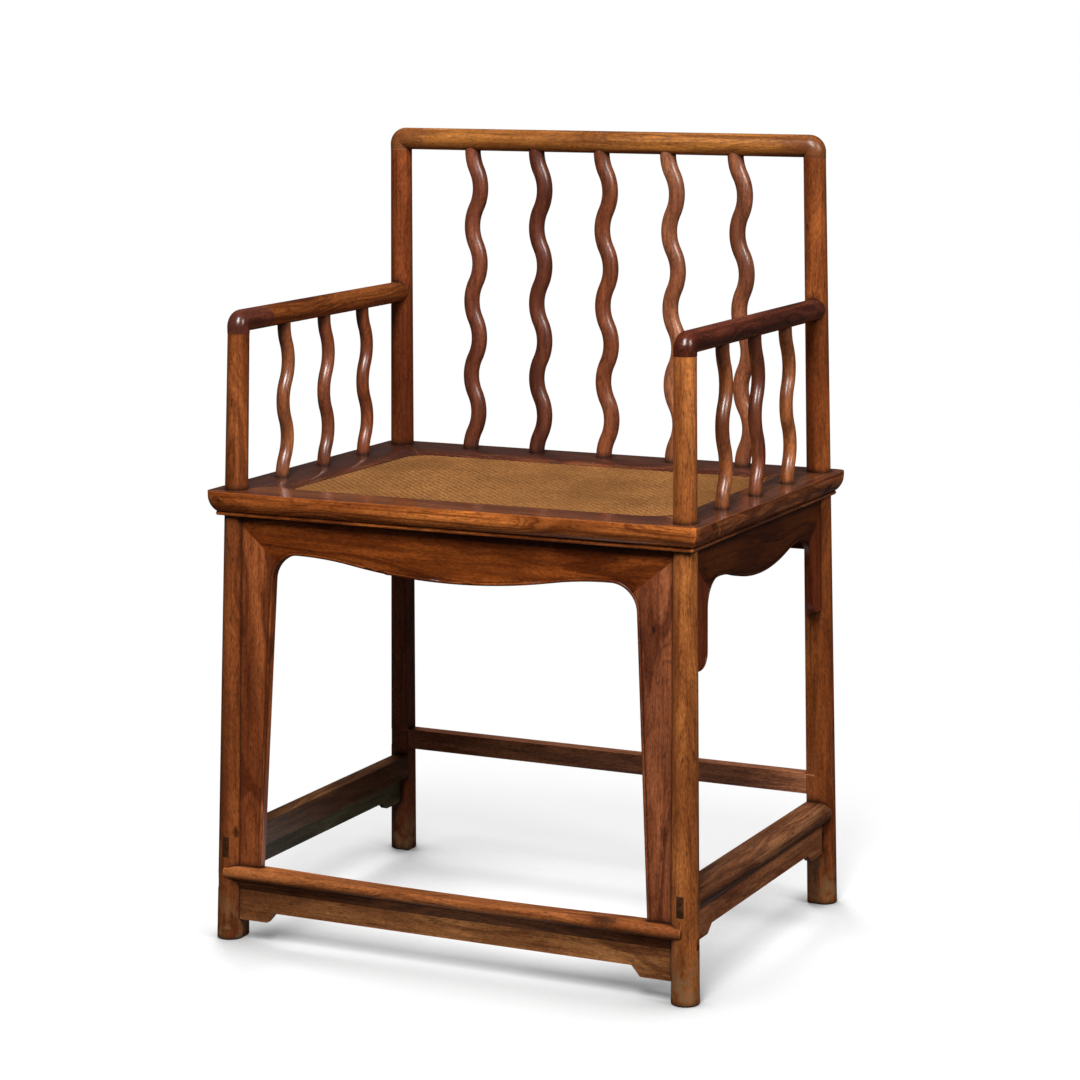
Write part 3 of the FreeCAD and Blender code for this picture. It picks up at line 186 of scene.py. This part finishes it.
def make_spot_group():
    """A mark of a given size round a point, such as a knot, drawn out along the grain, with an
    uneven rim."""
    tree, given, result = new_group(
        "spot", [("Vector", "Vector", None), ("Point", "Vector", None), ("Stretch", "Vector", None),
                 ("Size", "Float", 0.005)],
        [("Mask", "Float")])
    off = node(tree, "VectorMath", {0: given["Vector"], 1: given["Point"]}, operation="SUBTRACT")
    off = node(tree, "VectorMath", {0: off, 1: given["Stretch"]}, operation="MULTIPLY")
    away = node(tree, "VectorMath", {0: off}, out="Value", operation="LENGTH")
    away = math_node(tree, "DIVIDE", away, given["Size"])
    rim = node(tree, "TexNoise", {"Vector": given["Vector"], "Scale": 300.0, "Detail": 2.0})
    wire(tree, result["Mask"], smooth_step(tree, math_node(tree, "ADD", away, rim), 1.6, 0.7))
    return tree


figure_group = make_figure_group()
age_group = make_age_group()
spot_group = make_spot_group()
ALONG = {"X": (0.0, -math.pi / 2, 0.0), "Y": (math.pi / 2, 0.0, 0.0), "Z": (0.0, 0.0, 0.0)}
DRAWN_OUT = {"X": Vector((0.45, 1.0, 1.0)), "Y": Vector((1.0, 0.45, 1.0)),
             "Z": Vector((1.0, 1.0, 0.45))}
dirt_and_shade_colour = srgb(20, 11, 8)
foot_colour = srgb(138, 101, 64)


def dress(piece, grain, cut, tone, figure=0.5, streaks=0.4, gloss=0.26, shine=0.25, rubbed=0.2,
          ends=None, within=1.0, top=None, worn_below=None, shaded_below=None, spots=()):
    """Waxed hardwood on a piece, darkened where other parts hem it in, by dirt and by painted shade.
    cut is how far its middle lies from the heart of the log, across and along; ends is how far out
    the end grain of its through tenons begins, if within that far aside; top is a colour laid over
    the faces that point up; below worn_below the wax has gone, and below shaded_below the colour is
    darkened as painted shade, as under a nose or a rounding."""
    material = bpy.data.materials.new(piece + "_wood")
    material.use_nodes = True
    tree = material.node_tree
    shader = tree.nodes["Principled BSDF"]
    low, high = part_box(piece)
    turned_middle = Euler(ALONG[grain]).to_matrix() @ ((low + high) / 2)
    place = node(tree, "TexCoord", {}, out="Object")
    along = node(tree, "Mapping", {"Vector": place, "Rotation": ALONG[grain],
                                   "Location": Vector(cut) - turned_middle})
    figured = use_group(tree, figure_group, {"Vector": along, "Tone": tone, "Figure": figure,
                                             "Streaks": streaks})
    age = use_group(tree, age_group, {})
    colour = figured["Color"]
    rough = math_node(tree, "ADD", figured["Roughness"], gloss)
    if ends is not None:
        axis = node(tree, "SeparateXYZ", {0: place}, out=grain)
        cut_end = smooth_step(tree, math_node(tree, "ABSOLUTE", axis), ends, ends + 0.0005)
        aside = node(tree, "SeparateXYZ", {0: place}, out="X" if grain == "Y" else "Y")
        beside = math_node(tree, "LESS_THAN", math_node(tree, "ABSOLUTE", aside), within)
        cut_end = math_node(tree, "MULTIPLY", cut_end, beside)
        colour = mix_colour(tree, math_node(tree, "MULTIPLY", cut_end, 0.42), colour, dirt_and_shade_colour)
    # Faces that point up take the darker top colour.
    if top is not None:
        facing = node(tree, "SeparateXYZ", {0: node(tree, "TexCoord", {}, out="Normal")}, out="Z")
        upward_faces = math_node(tree, "MULTIPLY", smooth_step(tree, facing, 0.80, 0.98), 0.75)
        colour = mix_colour(tree, upward_faces, colour, top)
    for point, size, stain, strength in spots:
        spot = use_group(tree, spot_group, {"Vector": place, "Point": Vector(point), "Size": size,
                                            "Stretch": DRAWN_OUT[grain]})
        colour = mix_colour(tree, math_node(tree, "MULTIPLY", spot["Mask"], strength), colour, stain)
    worn = math_node(tree, "MULTIPLY", age["Rubbed"], rubbed)
    colour = mix_colour(tree, worn, colour, [min(1.0, 2.2 * part) for part in tone[:3]] + [1.0])
    if worn_below is not None:
        height = node(tree, "SeparateXYZ", {0: place}, out="Z")
        dull = smooth_step(tree, height, worn_below, 0.2 * worn_below)
        scuff = node(tree, "TexNoise", {"Vector": place, "Scale": 90.0, "Detail": 4.0})
        dull = math_node(tree, "MULTIPLY", dull, smooth_step(tree, scuff, 0.38, 0.60))
        colour = mix_colour(tree, math_node(tree, "MULTIPLY", dull, 0.85), colour, foot_colour)
        rough = math_node(tree, "MULTIPLY_ADD", dull, 0.3, rough)
    # Painted shade: below the given height the colour is darkened, as under a nose or a rounding.
    if shaded_below is not None:
        height = node(tree, "SeparateXYZ", {0: place}, out="Z")
        painted_shade = smooth_step(tree, height, shaded_below + 0.0025, shaded_below - 0.0025)
        colour = mix_colour(tree, math_node(tree, "MULTIPLY", painted_shade, 0.6), colour, dirt_and_shade_colour)
    # Dirt where pieces meet, with painted shade in corners, joints and under overhangs.
    colour = mix_colour(tree, math_node(tree, "MULTIPLY", age["Grime And Shade"], 0.85), colour, dirt_and_shade_colour)
    wire(tree, shader.inputs["Base Color"], colour)
    wire(tree, shader.inputs["Roughness"], rough)
    bump = node(tree, "Bump", {"Height": figured["Height"], "Strength": 0.12, "Distance": 0.0004})
    wire(tree, shader.inputs["Normal"], bump)
    shader.inputs["Specular IOR Level"].default_value = shine
    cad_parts[piece].material_slots[0].material = material


leg_tones = {"front_leg_left": srgb(121, 61, 27), "front_leg_right": srgb(148, 83, 39),
             "rear_leg_left": srgb(108, 50, 22), "rear_leg_right": srgb(129, 65, 28)}
leg_spots = {"front_leg_left": [((-0.2612, -0.2088, 0.1223), 0.0042, dirt_and_shade_colour, 0.8),
                                ((-0.2645, -0.2141, 0.0174), 0.010, dirt_and_shade_colour, 0.5)],
             "front_leg_right": [((0.2819, -0.2005, 0.2623), 0.004, dirt_and_shade_colour, 0.5)]}
for number, (name, tone) in enumerate(leg_tones.items()):
    dress(name, "Z", (0.02, 0.06 - 0.03 * number, 0.4 * number), tone, figure=0.45, streaks=0.5,
          shine=0.35, worn_below=0.065, spots=leg_spots.get(name, ()))


# Foot rail and its apron
# The front stretcher, where feet rest: its nose laps the legs and its top is worn hollow. A thin board
# with stepped ends is tongued into the legs under it.

tenon_show = 0.004
# Under its nose the rail is darkened as painted shade.
dress("foot_rail", "X", (0.02, 0.06, 0.3), srgb(146, 81, 41), figure=0.5, streaks=0.6, rubbed=0.5,
      ends=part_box("foot_rail")[1].x - tenon_show, shaded_below=0.0645,
      spots=[((0.1864, -0.2152, 0.0825), 0.010, dirt_and_shade_colour, 0.7)])
dress("foot_rail_apron", "X", (0.0, 0.11, 1.3), srgb(142, 88, 49), figure=0.5, streaks=0.5, gloss=0.32)


# Side stretchers, their aprons and the rear stretcher
# Three more stretchers, each row set higher, flat inside and half round outside, with through tenons
# that show as dark end grain on the legs. Under the side ones are thin stepped boards.

stretcher_tones = {"left": srgb(89, 53, 28), "right": srgb(117, 72, 45)}
board_tones = {"left": srgb(91, 79, 53), "right": srgb(147, 86, 52)}
# The right stretcher is darkened along its lower rounding as painted shade.
stretcher_shaded_below = {"left": None, "right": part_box("side_stretcher_right")[0].z + 0.009}
for number, side in enumerate(("left", "right")):
    stretcher = "side_stretcher_" + side
    dress(stretcher, "Y", (0.06, 0.03, 0.6 + 0.5 * number), stretcher_tones[side], figure=0.55,
          streaks=0.8, ends=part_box(stretcher)[1].y - tenon_show, shaded_below=stretcher_shaded_below[side])
    dress("side_stretcher_apron_" + side, "Y", (0.12, 0.0, 0.1 + 0.5 * number), board_tones[side],
          figure=0.4, streaks=0.5, gloss=0.45)
# Painted light: the rear stretcher's tone is lighter than its wood, to make up for the little light
# that reaches it under the seat.
dress("rear_stretcher", "X", (0.03, 0.05, 0.8), srgb(149, 88, 58), figure=0.45, streaks=0.5,
      ends=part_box("rear_stretcher")[1].x - tenon_show)


# Aprons under the seat
# Shaped boards with a beaded lower edge, mitred to uprights at the front and to short drops at the
# sides. All are tongued into the legs. The rear one is a plain board.

apron_tone = srgb(119, 55, 17)
dress("front_apron", "X", (0.01, 0.12, 0.9), apron_tone, figure=0.6, streaks=0.45, rubbed=0.1)
dress("rear_apron", "X", (0.0, 0.12, 0.2), apron_tone)
upright_spots = {"left": (), "right": [((0.2344, -0.1966, 0.3907), 0.0034, dirt_and_shade_colour, 0.8),
                                       ((0.2495, -0.2033, 0.1779), 0.006, srgb(62, 28, 16), 0.6)]}
upright_tones = {"left": srgb(132, 67, 33), "right": srgb(138, 75, 45)}
for number, side in enumerate(("left", "right")):
    dress("front_apron_upright_" + side, "Z", (0.005, 0.12, 0.2 + 0.7 * number), upright_tones[side],
          figure=0.6, streaks=0.45, rubbed=0.1, spots=upright_spots[side])
    apron = "side_apron_" + side
    dress(apron, "Y", (0.12, 0.0, 0.5 * number), srgb(77, 33, 8), rubbed=0.1)
    for end in ("front", "rear"):
        dress(f"{apron}_drop_{end}", "Z", (0.1, 0.03 * number, 0.7), srgb(106, 44, 20), rubbed=0.1)


# Seat frame
# Four rails mitred at the corners, with a moulded outer edge and a bead under it. The top is polished
# by use and mirrors the spindles; the side rails take the through tenons of the front and rear ones.

seat_tones = {"front": srgb(182, 98, 43), "rear": srgb(112, 56, 31), "left": srgb(92, 48, 29),
              "right": srgb(146, 80, 43)}
seat_cuts = {"front": (0.01, 0.10), "rear": (0.03, 0.08), "left": (0.08, 0.02), "right": (0.09, 0.02)}
seat_spots = {"front": [((-0.2762, -0.2135, 0.4924), 0.005, dirt_and_shade_colour, 0.7)]}
seat_top = srgb(64, 38, 31)
seat_tenon_from = 0.275
seat_tenon_within = 0.185
for number, (side, tone) in enumerate(seat_tones.items()):
    grain = "X" if side in ("front", "rear") else "Y"
    dress("seat_rail_" + side, grain, (*seat_cuts[side], 0.37 * number), tone, figure=0.75, streaks=0.7,
          gloss=0.12, rubbed=0.4, ends=seat_tenon_from if grain == "X" else None,
          within=seat_tenon_within, top=seat_top, spots=seat_spots.get(side, ()))


# Seat board and braces
# A thin board on the rails' ledge, and two braces tenoned across under it. Planed, but never waxed.

planed_tone = srgb(128, 92, 60)
for name, grain in (("seat_board", "X"), ("seat_brace_left", "Y"), ("seat_brace_right", "Y")):
    dress(name, grain, (0.05, 0.1, 0.3), planed_tone, figure=0.4, streaks=0.3, gloss=0.5, rubbed=0.1)


# Cane mat
# A fine twill of split cane, golden with age, laid over the board and held all round in the seat
# frame. Each strand is modelled as it rises over two of its neighbours and dips under two.

mat_low, mat_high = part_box("cane_mat")
mat_size = mat_high - mat_low
mat_middle = (mat_low + mat_high) / 2
corner_radius = 0.028
strand_pitch = 0.0025
strand_rise = 0.00028
mat_top = mat_high.z - strand_rise

weave = bmesh.new()
steps = [2 * round(extent / strand_pitch) for extent in (mat_size.x, mat_size.y)]
spread = Matrix.Translation((mat_middle.x, mat_middle.y, mat_top)) @ Matrix.Diagonal(
    (mat_size.x, mat_size.y, 1.0, 1.0))
bmesh.ops.create_grid(weave, x_segments=steps[0], y_segments=steps[1], size=0.5, matrix=spread)
for vertex in weave.verts:
    column = round((vertex.co.x - mat_low.x) / mat_size.x * steps[0])
    row = round((vertex.co.y - mat_low.y) / mat_size.y * steps[1])
    if column % 2 and row % 2:
        over = (column // 2 + row // 2) % 4 < 2
        vertex.co.z += strand_rise if over else strand_rise * 0.45
    elif column % 2 or row % 2:
        vertex.co.z -= strand_rise * 0.2
    else:
        vertex.co.z -= strand_rise
for side_x in (-1, 1):
    for side_y in (-1, 1):
        heart = Vector((mat_middle.x + side_x * (mat_size.x / 2 - corner_radius),
                        mat_middle.y + side_y * (mat_size.y / 2 - corner_radius), mat_top))
        for step in range(1, 8):
            turn = step * math.pi / 16
            out = Vector((side_x * math.cos(turn), side_y * math.sin(turn), 0.0))
            bmesh.ops.bisect_plane(weave, geom=weave.verts[:] + weave.edges[:] + weave.faces[:],
                                   plane_co=heart + corner_radius * out, plane_no=out, clear_outer=True)
rim = [edge for edge in weave.edges if edge.is_boundary]
skirt = bmesh.ops.extrude_edge_only(weave, edges=rim)["geom"]
for item in skirt:
    if isinstance(item, bmesh.types.BMVert):
        item.co.z = mat_low.z
bmesh.ops.contextual_create(weave, geom=[edge for edge in weave.edges if edge.is_boundary])
bmesh.ops.recalc_face_normals(weave, faces=weave.faces[:])
for face in weave.faces:
    face.smooth = True
mesh = bpy.data.meshes.new("cane_weave")
weave.to_mesh(mesh)
weave.free()
cane_weave = bpy.data.objects.new("cane_weave", mesh)
bpy.context.scene.collection.objects.link(cane_weave)

cane = bpy.data.materials.new("split_cane")
cane.use_nodes = True
tree = cane.node_tree
place = node(tree, "TexCoord", {}, out="Object")
pitches = Vector((2 * mat_size.x / steps[0], 2 * mat_size.y / steps[1], 1.0))
strands_per_metre = Vector((1 / pitches.x, 1 / pitches.y, 0.0))
first_strand = Vector((-mat_low.x / pitches.x, -mat_low.y / pitches.y, 0.0))
cell = node(tree, "Mapping", {"Vector": place, "Scale": strands_per_metre, "Location": first_strand})
strand = node(tree, "VectorMath", {0: cell}, operation="FLOOR")
turns = node(tree, "VectorMath", {0: strand, 1: Vector((1.0, 1.0, 0.0))}, out="Value",
             operation="DOT_PRODUCT")
on_top = math_node(tree, "LESS_THAN", math_node(tree, "MODULO", turns, 4.0), 1.5)


def strand_shade(along, across):
    """Light and dark along each strand of one direction, with a tone of its own for every strand."""
    run = node(tree, "VectorMath", {0: cell, 1: along}, operation="MULTIPLY")
    lane = node(tree, "VectorMath", {0: strand, 1: across}, operation="MULTIPLY")
    spot = node(tree, "VectorMath", {0: run, 1: lane}, operation="ADD")
    return node(tree, "TexNoise", {"Vector": spot, "Scale": 1.0, "Detail": 3.0, "Roughness": 0.7})


lengthwise = strand_shade(Vector((0.55, 0.0, 0.0)), Vector((0.0, 7.31, 0.0)))
crosswise = strand_shade(Vector((0.0, 0.55, 0.0)), Vector((5.77, 0.0, 0.0)))
strand_tone = node(tree, "Mix", {"Factor": on_top, 2: lengthwise, 3: crosswise}, data_type="FLOAT")
fibre = node(tree, "TexNoise", {"Vector": place, "Scale": 560.0, "Detail": 2.0, "Roughness": 0.7})
patch = node(tree, "TexNoise", {"Vector": place, "Scale": 9.0, "Detail": 4.0, "Roughness": 0.6})
mottle = math_node(tree, "MULTIPLY_ADD", strand_tone, 0.68, math_node(tree, "MULTIPLY", on_top, 0.09))
mottle = math_node(tree, "MULTIPLY_ADD", fibre, 0.48, mottle)
straw = mix_colour(tree, smooth_step(tree, mottle, 0.36, 0.86), srgb(79, 46, 20), srgb(184, 126, 70))
straw = mix_colour(tree, math_node(tree, "MULTIPLY", smooth_step(tree, patch, 0.58, 0.36), 0.3), straw,
                   srgb(84, 50, 23))
# Painted shade: the narrow gaps between the strands are darkened, in a dark brown.
inside = node(tree, "VectorMath", {0: cell}, operation="FRACTION")
inside = node(tree, "VectorMath", {0: inside, 1: Vector((0.5, 0.5, 0.0))}, operation="SUBTRACT")
inside = node(tree, "VectorMath", {0: inside}, operation="ABSOLUTE")
aside = node(tree, "SeparateXYZ", {0: inside}).node.outputs
to_gap = node(tree, "Mix", {"Factor": on_top, 2: aside["Y"], 3: aside["X"]}, data_type="FLOAT")
gap_shade = math_node(tree, "MULTIPLY", smooth_step(tree, to_gap, 0.34, 0.50), 0.6)
straw = mix_colour(tree, gap_shade, straw, srgb(48, 26, 11))
# Dirt and painted shade along the frame round the mat.
age = use_group(tree, age_group, {"Grime And Shade Reach": 0.02})
straw = mix_colour(tree, math_node(tree, "MULTIPLY", age["Grime And Shade"], 0.6), straw, dirt_and_shade_colour)
shader = tree.nodes["Principled BSDF"]
wire(tree, shader.inputs["Base Color"], straw)
wire(tree, shader.inputs["Roughness"], math_node(tree, "MULTIPLY_ADD", fibre, -0.2, 0.72))
bump = node(tree, "Bump", {"Height": fibre, "Strength": 0.4, "Distance": 0.0004})
wire(tree, shader.inputs["Normal"], bump)
shader.inputs["Specular IOR Level"].default_value = 0.2
cane_weave.data.materials.append(cane)
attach(cane_weave, "root")
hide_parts("cane_mat")


# Spindles
# Five in the back and three under each arm, each sawn wavy from one piece, rounded, and pinned into
# the seat frame and the rail above. Redder than the frame.

spindle_tones = {
    "back_spindle_1": srgb(109, 54, 33), "back_spindle_2": srgb(91, 43, 26),
    "back_spindle_3": srgb(114, 57, 31), "back_spindle_4": srgb(148, 87, 55),
    "back_spindle_5": srgb(124, 68, 41), "arm_spindle_left_front": srgb(142, 80, 45),
    "arm_spindle_left_middle": srgb(107, 52, 28), "arm_spindle_left_rear": srgb(109, 50, 24),
    "arm_spindle_right_front": srgb(141, 76, 39), "arm_spindle_right_middle": srgb(116, 58, 33),
    "arm_spindle_right_rear": srgb(142, 76, 39)}
for number, (name, tone) in enumerate(spindle_tones.items()):
    dress(name, "Z", (0.02, 0.04, 0.45 * number), tone, figure=0.5, streaks=0.45, gloss=0.27, shine=1.0)


# Arms
# Round rails tenoned into the back posts and turned down on to the arm posts. The right one is a
# single dark piece; the left one is golden, with a dark elbow spliced on.

dress("armrest_left", "Y", (0.03, 0.05, 0.3), srgb(107, 53, 20), figure=0.55, streaks=0.5,
      gloss=0.22, shine=0.3)
elbow_low, elbow_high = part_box("armrest_left_elbow")
elbow_bend = ((elbow_low.x + elbow_high.x) / 2, elbow_low.y + 0.008, elbow_high.z - 0.016)
dress("armrest_left_elbow", "Y", (0.04, 0.02, 0.8), srgb(107, 55, 37), figure=0.5, gloss=0.2, shine=0.5,
      spots=[(elbow_bend, 0.024, srgb(70, 34, 29), 0.7)])
dress("armrest_right", "Y", (0.02, 0.05, 0.1), srgb(83, 36, 22), figure=0.6, streaks=0.5,
      gloss=0.2, shine=0.5)


# Crest rail
# A straight round rail with both ends turned down on to the back posts. Golden, with an even grain
# and redder ends.

crest_ends = [((sign * 0.262, 0.1755, 0.8610), 0.028, srgb(96, 46, 28), 0.65) for sign in (-1, 1)]
dress("crest_rail", "X", (0.03, 0.05, 0.6), srgb(139, 81, 33), figure=0.5, streaks=0.6,
      gloss=0.30, shine=0.5, spots=crest_ends)


# Studio
# A pale floor that runs to the horizon, soft lights from the front, the right and behind, a dim
# room, and the camera where the photographer stood.

floor_radius = 2000.0
shadow_reach = 0.22

floor = bmesh.new()
bmesh.ops.create_circle(floor, cap_ends=True, segments=96, radius=floor_radius)
mesh = bpy.data.meshes.new("studio_floor")
floor.to_mesh(mesh)
floor.free()
studio_floor = bpy.data.objects.new("studio_floor", mesh)
bpy.context.scene.collection.objects.link(studio_floor)
paper = bpy.data.materials.new("floor_paper")
paper.use_nodes = True
tree = paper.node_tree
tree.nodes.remove(tree.nodes["Principled BSDF"])
ray = tree.nodes.new("ShaderNodeLightPath").outputs
mirrored = math_node(tree, "MAXIMUM", ray["Is Glossy Ray"], ray["Is Transmission Ray"])
place = node(tree, "TexCoord", {}, out="Object")
away = node(tree, "VectorMath", {0: place}, out="Value", operation="LENGTH")
shade = node(tree, "BsdfDiffuse", {"Color": (0.42, 0.42, 0.42, 1.0)})
# Painted shadow: the floor's glow is turned down where the chair stands close above it, so the floor
# darkens under and round the chair besides the shadows the lamps cast. In reflections the floor fades
# to dark away from the chair.
open_above = node(tree, "AmbientOcclusion", {"Distance": shadow_reach}, out=1, samples=16)
clear_of_chair = smooth_step(tree, open_above, 0.50, 0.98)
glow = node(tree, "Emission", {"Strength": math_node(tree, "MULTIPLY_ADD", clear_of_chair, 0.50, 0.12)})
sheet = node(tree, "AddShader", {0: shade, 1: glow})
white = node(tree, "Emission", {"Color": (1.0, 1.0, 1.0, 1.0)})
dim = node(tree, "Emission", {"Color": (0.03, 0.03, 0.03, 1.0)})
bounce = node(tree, "BsdfDiffuse", {"Color": (0.12, 0.12, 0.12, 1.0)})
seen = node(tree, "MixShader", {0: smooth_step(tree, away, 0.45, 0.85), 1: sheet, 2: white})
reflected = node(tree, "MixShader", {0: smooth_step(tree, away, 0.10, 0.34), 1: sheet, 2: dim})
indirect = node(tree, "MixShader", {0: mirrored, 1: bounce, 2: reflected})
wire(tree, tree.nodes["Material Output"].inputs["Surface"],
     node(tree, "MixShader", {0: ray["Is Camera Ray"], 1: indirect, 2: seen}))
studio_floor.data.materials.append(paper)

world = bpy.data.worlds.new("dim_room")
bpy.context.scene.world = world
world.use_nodes = True
tree = world.node_tree
room = tree.nodes["Background"]
room.inputs["Color"].default_value = (0.04, 0.04, 0.041, 1.0)
backdrop = node(tree, "Background", {"Color": (1.0, 1.0, 1.0, 1.0), "Strength": 1.0})
camera_ray = node(tree, "LightPath", {}, out="Is Camera Ray")
wire(tree, tree.nodes["World Output"].inputs["Surface"],
     node(tree, "MixShader", {0: camera_ray, 1: room.outputs[0], 2: backdrop}))


def soft_light(name, azimuth, elevation, distance, width, height, power):
    """A soft box that faces the seat, turned from the front towards the right by its azimuth."""
    lamp = bpy.data.lights.new(name, "AREA")
    lamp.shape = "RECTANGLE"
    lamp.size = width
    lamp.size_y = height
    lamp.energy = power
    turn, rise = math.radians(azimuth), math.radians(elevation)
    away = Vector((math.sin(turn) * math.cos(rise), -math.cos(turn) * math.cos(rise), math.sin(rise)))
    box = bpy.data.objects.new(name, lamp)
    bpy.context.scene.collection.objects.link(box)
    box.matrix_world = Matrix.Translation(away * distance + Vector((0.0, 0.0, 0.5))) @ (
        away.to_track_quat("Z", "Y").to_matrix().to_4x4())
    return box


soft_light("front_box", 16, 48, 3.0, 0.7, 1.6, 106)
soft_light("right_box", 76, 34, 2.8, 0.45, 1.1, 28)
rear_box = soft_light("rear_box", 218, 50, 3.0, 1.0, 1.0, 56)
rear_box.visible_glossy = False

lens = bpy.data.cameras.new("camera")
lens.sensor_width = 36.0
lens.lens = 103.5
lens.shift_x = 0.0017
camera = bpy.data.objects.new("camera", lens)
bpy.context.scene.collection.objects.link(camera)
right = Vector((0.9004, 0.4351, -0.0036))
up = Vector((-0.0723, 0.1579, 0.9848))
ahead = Vector((-0.4290, 0.8865, -0.1736))
camera_place = Vector((1.4825, -3.0456, 1.0321))
turned = Matrix((right, up, -ahead)).transposed().to_4x4()
camera.matrix_world = Matrix.Translation(camera_place) @ turned
bpy.context.scene.camera = camera
bpy.context.scene.view_settings.view_transform = "Standard"
